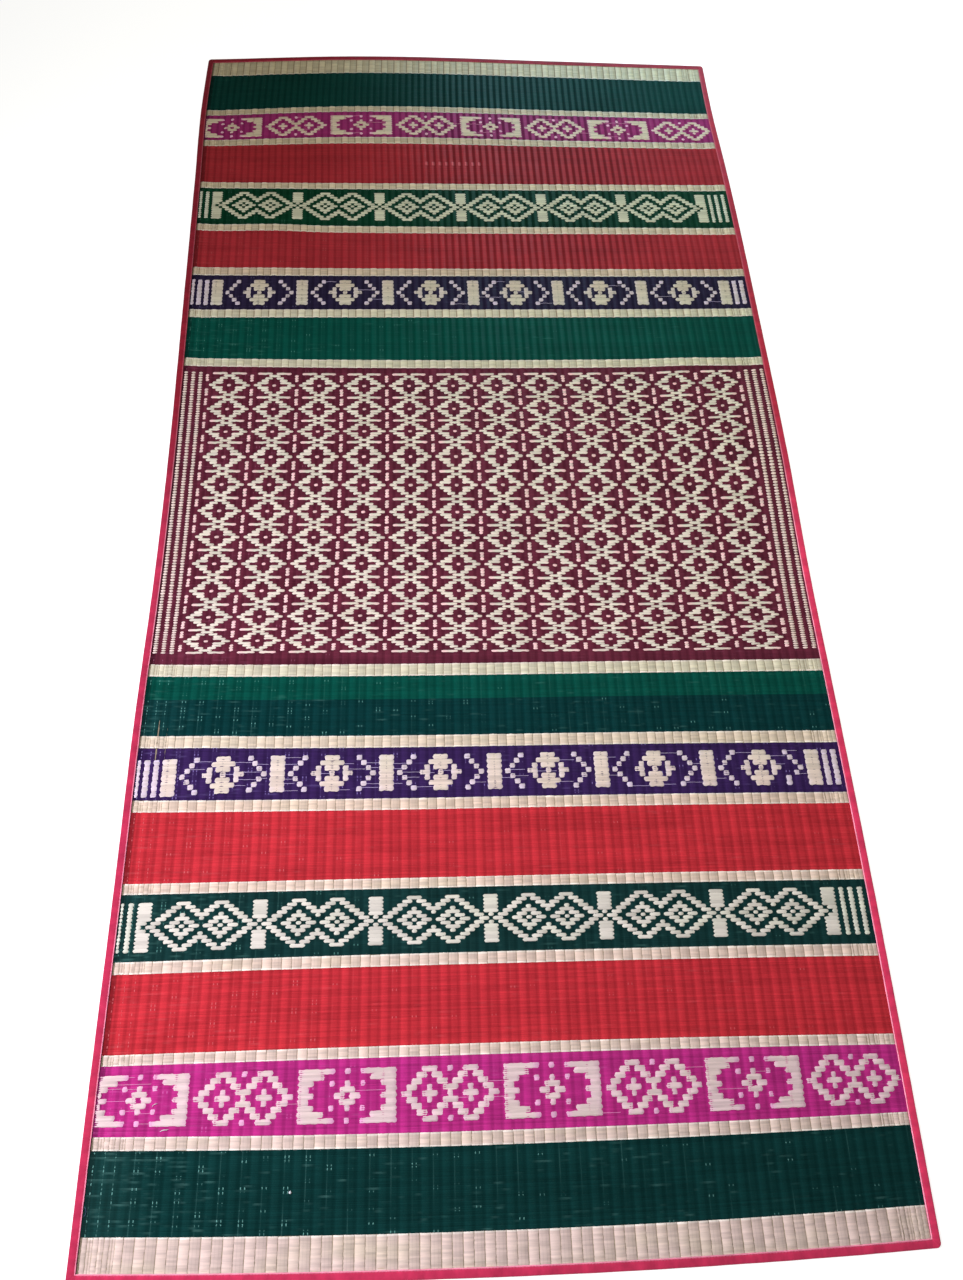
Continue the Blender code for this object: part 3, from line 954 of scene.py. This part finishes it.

# %% [markdown]
# ## Loose threads of the weave
#
# Here and there a thin strand slips over its neighbours instead of under them, and shows as a
# fine pale line between two figures. A row of short pale strands on the far brick red stripe is
# a painted highlight across its ribs.

# %% Thin stray strands
def stray_strands():
    """Thin strands across gaps of the figures: along, first and last column, width, material."""
    # Painted highlight: a row of short paler strands across the far brick red stripe, one to a rib
    found = [(LENGTH - 261.3, k - 0.42, k + 0.42, 8.5, 2) for k in np.arange(66.5, 84, 2)]
    for name, share in (("far_magenta", 0.12), ("near_magenta", 0.22), ("far_purple", 0.12),
                        ("near_purple", 0.30)):
        band = BANDS[name]
        pitch = np.gradient(band["rows"])
        runs = runs_of(band["grid"])
        for a, b in zip(runs[:-1], runs[1:]):
            gap = b[1] - a[2] - 1
            here = share * (1.7 if name == "near_purple" and a[2] < 70 else 0.8)
            if name == "near_magenta":
                here = 0.5 if b[1] < 14 else 0.05
            if a[0] == b[0] and 2 <= gap <= 9 and chance.uniform() < here:
                place = band["rows"][a[0]] + pitch[a[0]] * chance.uniform(-0.35, 0.35)
                cut = chance.uniform(0, 0.5) * gap * (chance.uniform() < 0.5)
                found.append((LENGTH - place, a[2] + 0.3, b[1] - 0.3 - cut, 0.60,
                              int(band["figure"] == "purple")))
    return np.array(found)


stray = stray_strands()
STRAY = {"at": tuple(np.linspace(0, 1, 11)), "shift": (0,) * 11,
         "rise": (0.0,) + (1.0,) * 9 + (0.0,), "pull": 0.0}
points, faces, weave, flat, _ = strand_groups(
    stray[:, 0], stray[:, 3], 1, stray[:, 1], stray[:, 2],
    lambda column, across, along: grass_top(across, along) + 0.30, STRAY)
stray_piece = make_piece(
    "stray_strands", points, faces, weave, flat / (WIDTH, LENGTH),
    np.where(stray[:, 4] == 2, 1.0, 0.8).repeat(len(points) // len(stray)),
    materials=[natural_grass("natural_sedge_thin_on_magenta", 0.0, "#d670b0"),
               natural_grass("natural_sedge_thin_on_purple", 0.0, "#a79ad0"),
               dyed_grass("bleached_brick_red_sedge", "#d25f68", "#d25f68", peep=0.0)],
    slots=np.tile(stray[:, 4].astype(int), len(faces) // len(stray)))

# %% [markdown]
# ## Back of the mat
#
# Turned over, the mat shows the same stripes, and every figure in reverse: where bare grass floats
# on the face, dyed grass floats on the back. One closed sheet carries that back and fills the
# inside of the cloth, and it is the sheet that everything above lies on.

# %% Weave the back
def back_rows():
    """Rows of the back: a row for every chart row and wider ones in plain stripes."""
    marks = {3.0, LENGTH - 3.0}
    for stripe in stripes:
        marks.update((stripe["far"], min(stripe["near"], LENGTH - 3.0)))
    for band in BANDS.values():
        pitch = np.gradient(band["rows"])
        marks.update(band["rows"] - pitch / 2)
        marks.add(band["rows"][-1] + pitch[-1] / 2)
    marks = sorted(marks)
    rows = [marks[0]]
    for a, b in zip(marks[:-1], marks[1:]):
        if b - a < 0.5:
            continue
        parts = max(1, int(round((b - a) / 9.0)))
        rows += list(np.linspace(a, b, parts + 1)[1:])
    return np.array(rows)


DYE_ORDER = list(DYES)
SHEET_THICK = 1.3
back_from_far = back_rows()
back_columns = np.concatenate([[3.0, 9.8], across_at(np.arange(0, LAST_RIB + 1)), [875.2, 882.0]])
along, across = np.meshgrid(LENGTH - back_from_far, back_columns, indexing="ij")
groove = np.abs(column_at(across)) % 2 > 0.5
inner = (across > 12) & (across < WIDTH - 12)
low = lay(across, along, underside(across, along) + 0.35 * (groove & inner))
rows_back, columns_back = across.shape

coarse = np.linspace(0, columns_back - 1, 12).astype(int)
few_across, few_along = across[:, coarse], along[:, coarse]
high = lay(few_across, few_along, underside(few_across, few_along) + SHEET_THICK)
offset = rows_back * columns_back
wide = len(coarse)
# The rows run from the far end to the near end here, so faces of a grid look down
faces = grid_faces(rows_back, columns_back).tolist()
faces += grid_faces(rows_back, wide, offset)[:, ::-1].tolist()
for j in range(rows_back - 1):
    a, b = j * columns_back, offset + j * wide
    faces.append([a, a + columns_back, b + wide, b])
    a, b = a + columns_back - 1, b + wide - 1
    faces.append([a + columns_back, a, b, b + wide])
for j, turn in ((0, 1), (rows_back - 1, -1)):
    for n, (p, q) in enumerate(zip(coarse[:-1], coarse[1:])):
        wall = [j * columns_back + i for i in range(q, p - 1, -1)]
        faces.append((wall + [offset + j * wide + n, offset + j * wide + n + 1])[::turn])


def back_slots():
    """A dye for each face of the back, with the figures in reverse."""
    middle = (back_from_far[1:] + back_from_far[:-1]) / 2
    ends = np.array([s["near"] for s in stripes])
    stripe_of = np.searchsorted(ends[:-1], middle)
    slots = np.array([DYE_ORDER.index(stripes[i]["dye"]) for i in stripe_of])
    slots = np.repeat(slots[:, None], columns_back - 1, 1)
    column = np.round(column_at((back_columns[1:] + back_columns[:-1]) / 2)).astype(int)
    column = np.clip(column, FIRST, LAST_RIB)
    for band in BANDS.values():
        pitch = np.gradient(band["rows"])
        row = np.round(np.interp(middle, band["rows"], np.arange(len(band["rows"])))).astype(int)
        inside = np.abs(middle - band["rows"][row]) < pitch[row] * 0.51
        bare_here = band["grid"][row][:, column - FIRST]
        slots[inside[:, None] & ~bare_here] = DYE_ORDER.index("cream")
    return slots


slots = back_slots().ravel().tolist()
slots += [DYE_ORDER.index("cream")] * (len(faces) - len(slots))
uv = [np.stack([left + share * x / WIDTH, y / LENGTH], -1).reshape(-1, 2)
      for x, y, left, share in ((across, along, 0.0, 0.96), (few_across, few_along, 0.962, 0.035))]
weave = [weave_place(across, along), np.zeros((high.size // 3, 3))]
woven_back = make_piece("woven_back", np.concatenate([low.reshape(-1, 3), high.reshape(-1, 3)]),
                        faces, np.concatenate(weave), np.concatenate(uv),
                        materials=list(DYES.values()), slots=slots)
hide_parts("woven_mat")

# %% [markdown]
# ## Cloth tape
#
# The edges are bound with a bright pink cotton tape, folded over the edge and sewn through with a
# single row. The seam pulls the tape down, so its folded inner edge stands up beside it as a thin
# lip that ripples over the ribs, with a painted highlight along it.

# %% Cotton tape material
def cotton_tape(name, level):
    """Plain-woven cotton: matt, with fine threads and soft puckers, painted lighter where they
    stand high.

    level is painted light: how much lighter or darker the whole tape is drawn.
    """
    material, node, weave, (run, inward, lip) = start_material(name)
    # Threads of 0.4 mm are too fine to show here, so they are drawn 0.8 mm apart
    lengthways, crossways = (node("PINGPONG", node("MULTIPLY", place, 1 / 0.8), 0.5)
                             for place in (run, inward))
    threads = node("MULTIPLY", node("ADD", lengthways, crossways), 0.5)
    place = node("place", run, inward, 3.0)
    pucker = uneven(node, place, (0.09, 0.05, 1.0), 3.0, 0.55)
    slow = uneven(node, place, (0.09, 0.05, 1.0), scale=0.12)
    shade = node("MULTIPLY_ADD", slow, 0.30, node("MULTIPLY_ADD", threads, 0.25, 0.30))
    # Painted light: the puckers are drawn lighter on their high places
    shade = node("MULTIPLY", node("MULTIPLY_ADD", pucker, 0.95, shade), level)
    # Painted shade: the tape is drawn a darker brick red at the far end and a clear pink red at the
    # near one. The lip is drawn a lighter pink, a painted highlight, darker towards the far end
    # too.
    far_share = node("ease", node("split", node("object")).node.outputs[1], -0.10, 0.22)
    cloth, edge = (node("mix", far_share, linear(near), linear(far))
                   for near, far in (("#cc3559", "#a22236"), ("#ff9ab4", "#b8505e")))
    relief = node("MULTIPLY_ADD", threads, 0.12, pucker)
    return finished(material, {
        "Base Color": node("darken", 1.0, node("mix", lip, cloth, edge), shade),
        "Normal": node("bump", 0.6, 1.2 * MM, relief), "Roughness": 0.75, "IOR": 1.45,
        "Sheen Weight": 0.15, "Sheen Roughness": 0.5})


# The left tape is drawn darker and the right one lighter: painted shade and painted light
tape_cloths = {"left": cotton_tape("pink_cotton_tape_left", 0.84),
               "right": cotton_tape("pink_cotton_tape_right", 1.30),
               "ends": cotton_tape("pink_cotton_tape_ends", 0.95)}
print("tapes:", list(tape_cloths))

# %% [markdown]
# The tape is drawn once as a cross-section: a U on its side, rounded outside, with a crease for the
# seam and a lip at its inner edge. The section is swept along each edge. Small waves in the lip and
# the upper flap change from one ring to the next.

# %% Cross-section of the tape
SEAM = 8.0                  # mm from the outside to the seam
OUTSIDE = ((9.5, 0.0), (8.0, 0.0), (4.5, 0.0), (1.5, 0.0), (0.55, 0.22), (0.12, 0.95),
           (0.0, 2.3), (0.12, 3.65), (0.55, 4.38), (1.5, 4.6), (3.2, 4.66), (5.4, 4.66),
           (7.0, 4.52), (7.7, 4.30), (8.0, 4.02), (8.25, 4.22), (8.6, 4.52), (9.0, 4.62),
           (9.35, 4.45), (9.5, 4.1), (9.5, 3.7))
INSIDE = ((5.0, 3.7), (0.95, 3.6), (0.95, 1.0), (5.0, 0.9), (9.5, 0.9))
LIP_FROM = 14               # the first point of the section that belongs to the lip
section = np.array(OUTSIDE + INSIDE)
pucker_row = chance.normal(0, 1, 900)


def waves(run, seed):
    """Soft uneven waves along a tape, about -1 to 1."""
    total = 0 * run
    for length, weight in ((34.0, 0.5), (17.0, 0.6), (9.3, 0.5)):
        place = run / length + seed * 37.7
        low_place = np.floor(place).astype(int)
        t = ease(place - low_place)
        total = total + weight * (pucker_row[low_place % 900] * (1 - t)
                                  + pucker_row[(low_place + 1) % 900] * t)
    return np.clip(total, -1.6, 1.6) * 0.6


def tape_rings(run, seed, over_ribs):
    """Distance in and height of the section's points at each place along the tape."""
    inward, height = (np.repeat(part[None, :], len(run), 0) for part in section.T)
    lip = np.zeros(len(section))
    lip[LIP_FROM + 1:len(OUTSIDE) - 1] = (0.6, 1.0, 1.0, 1.0, 0.8)
    flap = np.where((section[:, 1] > 4.2) & (section[:, 0] < 7.9), 1.0, 0.0)
    wave, second = waves(run, seed)[:, None], waves(run, seed + 5)[:, None]
    height = height + 0.14 * wave * lip + 0.12 * second * flap * (section[:, 0] > 1.0)
    inward = inward + 0.22 * second * lip * (section[:, 0] > 8.3)
    inward = inward + 0.12 * wave * (section[:, 0] < 1.0)
    if over_ribs:
        ripple = off_crest(column_at(run))[:, None]
        height = height - 0.22 * lip * ripple
        inward = inward + 0.25 * lip * (0.5 - ripple)
    return inward, height


print("section points:", len(section))

# %% [markdown]
# At a corner the side tape is folded in and rounded. Its outside turns through the corner while all
# the lines of the section run to one inner point, like the pleats of a fan.

# %% Sweep the tapes
CORNER_R = 5.0


def tape_weave(run, inward, height):
    """Place along and across the tape, and 1 on the lip, which is painted lighter as a highlight.
    """
    lip = ease((inward - SEAM - 0.1) / 0.5) * (height > 3.9)
    return np.stack([run + 0 * inward, inward + 0 * run, lip + 0 * run], -1).reshape(-1, 3)


def ring_faces(rings, count):
    j, i = np.meshgrid(np.arange(rings - 1), np.arange(count), indexing="ij")
    a, b = j * count + i, j * count + (i + 1) % count
    return np.stack([a, a + count, b + count, b], -1).reshape(-1, 4).tolist()


def corner_stations():
    """Places of the outline round a corner, from the side to the end."""
    turns = [math.radians(degrees) for degrees in range(0, 91, 15)]
    arc = [(CORNER_R - CORNER_R * math.cos(a), CORNER_R - CORNER_R * math.sin(a)) for a in turns]
    return [(0.0, 7.2)] + arc + [(7.2, 0.0), (TAPE_LAP, 0.0)]


def finish_tape(name, points, faces, weave, flat, length, cloth):
    """Merge the fan's tips, turn all faces outwards and put the new tape in its node's place.

    The UV map opens the tape out: its run upwards, and the way round the section across.
    """
    turn = np.where(flat[:, 2] > 2.3, 0.75 - flat[:, 0] / 40.0, 0.05 + flat[:, 0] / 40.0)
    uv = np.stack([turn, 0.01 + 0.98 * flat[:, 1] / length], -1)
    piece = make_piece(f"tape_{name}", points, faces, weave, uv, materials=[tape_cloths[cloth]],
                       slot="binding_tape")
    bpy.ops.object.select_all(action="DESELECT")
    piece.select_set(True)
    bpy.context.view_layer.objects.active = piece
    bpy.ops.object.mode_set(mode="EDIT")
    bpy.ops.mesh.select_all(action="SELECT")
    bpy.ops.mesh.remove_doubles(threshold=0.00001)
    bpy.ops.mesh.normals_make_consistent(inside=False)
    bpy.ops.object.mode_set(mode="OBJECT")
    bpy.ops.object.shade_smooth_by_angle(angle=math.radians(60))
    piece.select_set(False)
    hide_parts(f"binding_{name}")
    return piece


def side_tape(name, seed):
    """A tape along a side, with both corners folded in."""
    run = np.linspace(TAPE_LAP, LENGTH - TAPE_LAP, 440)
    calm = ease((np.minimum(run, LENGTH - run) - TAPE_LAP) / 12.0)[:, None]
    inward, height = (plain + (waved - plain) * calm
                      for plain, waved in zip(section.T, tape_rings(run, seed, False)))
    along = np.repeat(run[:, None], len(section), 1)
    flat = [np.stack([inward, along, height], -1).reshape(-1, 3)]
    faces = ring_faces(len(run), len(section))
    weave = [tape_weave(run[:, None], inward, height)]
    outside = np.array(OUTSIDE)
    count = len(outside)
    share = outside[:, 0] / TAPE_LAP
    first = len(run) * len(section)
    for is_far, ring in ((False, 0), (True, (len(run) - 1) * len(section))):
        previous = range(ring, ring + count)
        for i, (x, y) in enumerate(corner_stations()):
            fan_x, fan_y = x + share * (TAPE_LAP - x), y + share * (TAPE_LAP - y)
            flat.append(np.stack([fan_x, LENGTH - fan_y if is_far else fan_y, outside[:, 1]], -1))
            weave.append(tape_weave(np.full(count, -2.0 * i), outside[:, 0], outside[:, 1]))
            here = range(first, first + count)
            faces += zip(previous, previous[1:], here[1:], here)
            previous, first = here, first + count
        faces += [list(previous), list(range(ring + count - 1, ring + len(section)))]
    flat = np.concatenate(flat)
    across = flat[:, 0] if name == "left" else WIDTH - flat[:, 0]
    return finish_tape(name, lay(across, flat[:, 1], flat[:, 2]), faces, np.concatenate(weave),
                       flat, LENGTH, name)


def end_tape(name, seed):
    """A tape across an end, between the two side tapes."""
    run = np.linspace(TAPE_LAP + 0.05, WIDTH - TAPE_LAP - 0.05, 630)
    inward, height = tape_rings(run, seed, True)
    across = np.repeat(run[:, None], len(section), 1)
    points = lay(across, LENGTH - inward if name == "far" else inward, height).reshape(-1, 3)
    faces = ring_faces(len(run), len(section))
    faces += [list(range(ring, ring + len(section)))
              for ring in (0, (len(run) - 1) * len(section))]
    flat = np.stack([inward, across, height], -1).reshape(-1, 3)
    return finish_tape(name, points, faces, tape_weave(run[:, None], inward, height), flat, WIDTH,
                       "ends")


tapes = [side_tape("left", 1), side_tape("right", 2), end_tape("near", 3), end_tape("far", 4)]

# %% [markdown]
# ## Seams
#
# One row of stitches holds each tape down. A stitch is a short thread that comes up, lies in the
# groove of the seam for three millimetres and dives again: a tiny arch of five stations. One mesh
# holds all stitches.

# %% Sew the tapes
STITCH = 3.2
STITCH_TOP = 4.08           # the crease of the seam, above the floor
ARCH = ((-1.35, -0.30), (-1.05, 0.10), (0.0, 0.17), (1.05, 0.10), (1.35, -0.30))
THREAD = ((-0.28, -0.06), (-0.14, 0.14), (0.14, 0.14), (0.28, -0.06))


def seam(number, is_far, along_side):
    """Points, faces, weave and UV of one seam's stitches."""
    length, width = (LENGTH, WIDTH) if along_side else (WIDTH, LENGTH)
    run = np.arange(TAPE_LAP + 3.0, length - TAPE_LAP - 2.0, STITCH)
    run = run + chance.normal(0, 0.10, len(run))
    t, lift = np.array(ARCH).T
    side, up = np.array(THREAD).T
    place = run[:, None, None] + t[None, :, None] + 0 * side[None, None, :]
    sway = chance.normal(0, 0.06, len(run))[:, None, None]
    inward = SEAM + side[None, None, :] + sway + 0 * place
    height = STITCH_TOP + lift[None, :, None] + up[None, None, :] + 0 * place
    from_edge = width - inward if is_far else inward
    points = lay(from_edge, place, height) if along_side else lay(place, from_edge, height)
    faces = group_faces(len(run), len(ARCH), len(THREAD))[:, (0, 3, 2, 1)]
    if is_far == along_side:
        faces = faces[:, ::-1]
    line = np.arange(4)[None, None, :] / 3 + 0 * place
    uv = np.stack([(number + 0.1 + 0.8 * line) / 4, 0.99 * place / LENGTH], -1)
    weave = np.stack([place, inward, 0 * place], -1)
    return points.reshape(-1, 3), faces, weave.reshape(-1, 3), uv.reshape(-1, 2)


def sewing_thread(name, colour):
    """Spun thread: matt, with a fine twist across it."""
    material, node, weave, (run, inward, _) = start_material(name)
    slant = node("MULTIPLY", node("MULTIPLY_ADD", inward, 0.8, run), 2.2)
    twist = node("PINGPONG", slant, 0.5)
    shade = node("ease", twist, 0.0, 0.5, 0.75, 1.1)
    return finished(material, {
        "Base Color": node("darken", 1.0, linear(colour), shade), "Roughness": 0.65, "IOR": 1.5,
        "Normal": node("bump", 0.4, 0.2 * MM, twist)})


seams = merged([seam(0, False, True), seam(1, True, True), seam(2, False, False),
                seam(3, True, False)])
stitches = make_piece("seam_stitches", *seams, slot="binding_tape",
                      materials=[sewing_thread("spun_cotton_thread_pink", "#d8647e")])

# %% [markdown]
# ## Fluff
#
# A used mat picks up fluff: two loose ends of grass fibre curl up by the near left star, a bluish
# thread sticks out under the left tape, and a bit of lint lies on the last green stripe. Each is a
# thin tube through a few points, wider or thinner from point to point.

# %% Loose fibres and lint
FLUFF = (
    {"at": ((78.8, 1706.1, 0.1), (80.8, 1704.7, 0.8), (83.3, 1704.1, 1.0), (85.9, 1704.1, 0.7),
            (87.9, 1703.3, 0.1)), "radii": (0.15, 0.42, 0.46, 0.42, 0.15), "slot": 0},
    {"at": ((68.5, 1680.8, 0.1), (69.9, 1678.4, 0.9), (72.4, 1677.1, 1.0), (74.5, 1677.4, 0.2)),
     "radii": (0.15, 0.38, 0.38, 0.15), "slot": 0},
    {"at": ((10.0, 1775.6, 0.1), (12.2, 1777.3, 0.6), (13.0, 1780.4, 0.8), (12.4, 1783.0, 0.6),
            (10.2, 1785.1, 0.1)), "radii": (0.15, 0.34, 0.36, 0.34, 0.15), "slot": 1},
    {"at": ((215.8, 1764.0, 0.3), (216.4, 1764.0, 0.5), (217.3, 1763.9, 0.7), (218.2, 1764.1, 0.5),
            (218.8, 1764.0, 0.3)), "radii": (0.4, 1.3, 1.7, 1.3, 0.4), "slot": 2},
)


SIDES = 8


def tube(at, radii):
    """A closed tube through flat places, lying on the grass at the given heights."""
    across, from_far, height = np.array(at).T
    along = LENGTH - from_far
    centre = lay(across, along, grass_top(across, along) + height)
    forward = np.gradient(centre, axis=0)
    forward /= np.linalg.norm(forward, axis=1)[:, None]
    side = np.cross(forward, (0, 0, 1.0))
    side /= np.linalg.norm(side, axis=1)[:, None]
    up = np.cross(side, forward)
    turn = np.linspace(0, 2 * math.pi, SIDES, endpoint=False)
    ring = (np.cos(turn)[None, :, None] * side[:, None] + np.sin(turn)[None, :, None] * up[:, None])
    points = centre[:, None] + ring * np.array(radii)[:, None, None] * MM
    faces = [[a + i, a + SIDES + i, a + SIDES + (i + 1) % SIDES, a + (i + 1) % SIDES]
             for a in range(0, (len(at) - 1) * SIDES, SIDES) for i in range(SIDES)]
    last = (len(at) - 1) * SIDES
    return points.reshape(-1, 3), faces + [list(range(SIDES)),
                                           list(range(last, last + SIDES))[::-1]]


points, faces, slots, uv, count = [], [], [], [], 0
for index, entry in enumerate(FLUFF):
    tube_points, tube_faces = tube(entry["at"], entry["radii"])
    points.append(tube_points)
    faces += [[v + count for v in face] for face in tube_faces]
    slots += [entry["slot"]] * len(tube_faces)
    ring, side = np.divmod(np.arange(len(tube_points)), SIDES)
    uv.append(np.stack([(index + 0.1 + 0.8 * side / SIDES) / 4,
                        0.1 + 0.8 * ring / len(entry["at"])], -1))
    count += len(tube_points)
fluff = make_piece("fluff", np.concatenate(points), faces, np.zeros((count, 3)),
                   np.concatenate(uv), slots=slots,
                   materials=[sewing_thread("pale_grass_fibre", "#fff2f4"),
                              sewing_thread("blue_grey_thread", "#52627e"),
                              sewing_thread("white_cotton_lint", "#fbfdff")])

# %% [markdown]
# ## What lies on what
#
# The whole mat is one sheet of woven grass, laid flat.

print("sheet declared with", len(tapes), "tapes")

# %% [markdown]
# ## Floor
#
# The mat lies on a plain white floor. It is white all over in the picture, far corners too, so it
# shines a little of its own accord.

# %% Floor
floor_mesh = bpy.data.meshes.new("floor")
floor_mesh.from_pydata([(-4, -4, 0), (4, -4, 0), (4, 5, 0), (-4, 5, 0)], [], [(0, 1, 2, 3)])
floor = bpy.data.objects.new("floor", floor_mesh)
bpy.context.scene.collection.objects.link(floor)
floor_paint = bpy.data.materials.new("matt_white_floor")
floor_paint.use_nodes = True
floor_mesh.materials.append(finished(floor_paint, {
    "Base Color": (0.55, 0.55, 0.55, 1), "Roughness": 0.9, "Emission Color": (1, 1, 1, 1),
    "Emission Strength": 0.85}))
floor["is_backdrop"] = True
print("floor", tuple(floor.dimensions))

# %% [markdown]
# ## Lights
#
# A few large soft lights. The strongest stands on the left near the camera, so the near left
# corner is the brightest place. A low bluish light like a far window gives the waxy grass its
# sheen at the far end, and a warm one fills the right. The mirror images of the strongest and the
# warm one fall beside the mat, so both are hidden from glossy rays.

# %% Lights
LIGHTS = (
    {"name": "key_left", "place": (-1.0, -0.5, 1.3), "aim": (1.0, -1.6, 0), "size": 0.7,
     "power": 40.0, "colour": (0.90, 0.90, 1.0), "mirrored": False},
    {"name": "far_window", "place": (0.2, 1.65, 0.6), "aim": (1.0, 1.6, 0), "size": 0.7,
     "power": 17.0, "colour": (0.45, 0.80, 1.0), "mirrored": True},
    {"name": "fill_right", "place": (0.5, 0.0, 1.8), "aim": (1.0, 1.6, 0), "size": 1.0,
     "power": 13.3, "colour": (1.0, 0.95, 0.60), "mirrored": False},
)
for entry in LIGHTS:
    data = bpy.data.lights.new(entry["name"], "AREA")
    data.shape = "DISK"
    data.size = entry["size"]
    data.energy = entry["power"]
    data.color = entry["colour"]
    lamp = bpy.data.objects.new(entry["name"], data)
    lamp.visible_glossy = entry["mirrored"]
    lamp.location = entry["place"]
    towards = [a - b for a, b in zip(entry["aim"], entry["place"])]
    flat_way = math.hypot(towards[0], towards[1])
    lamp.rotation_euler = (math.atan2(flat_way, -towards[2]), 0,
                           math.atan2(towards[1], towards[0]) - math.pi / 2)
    bpy.context.scene.collection.objects.link(lamp)
world = bpy.data.worlds.new("soft_room")
world.use_nodes = True
world.node_tree.nodes["Background"].inputs[0].default_value = (1, 1, 1, 1)
world.node_tree.nodes["Background"].inputs[1].default_value = 0.04
bpy.context.scene.world = world
bpy.context.scene.view_settings.view_transform = "Standard"
print("lights:", [entry["name"] for entry in LIGHTS])

# %% [markdown]
# ## Sizes
#
# The box around the dressed mat is printed.

# %% Write the sizes and finish
low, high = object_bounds()
print("dressed box", tuple(round(v, 4) for v in low), tuple(round(v, 4) for v in high))
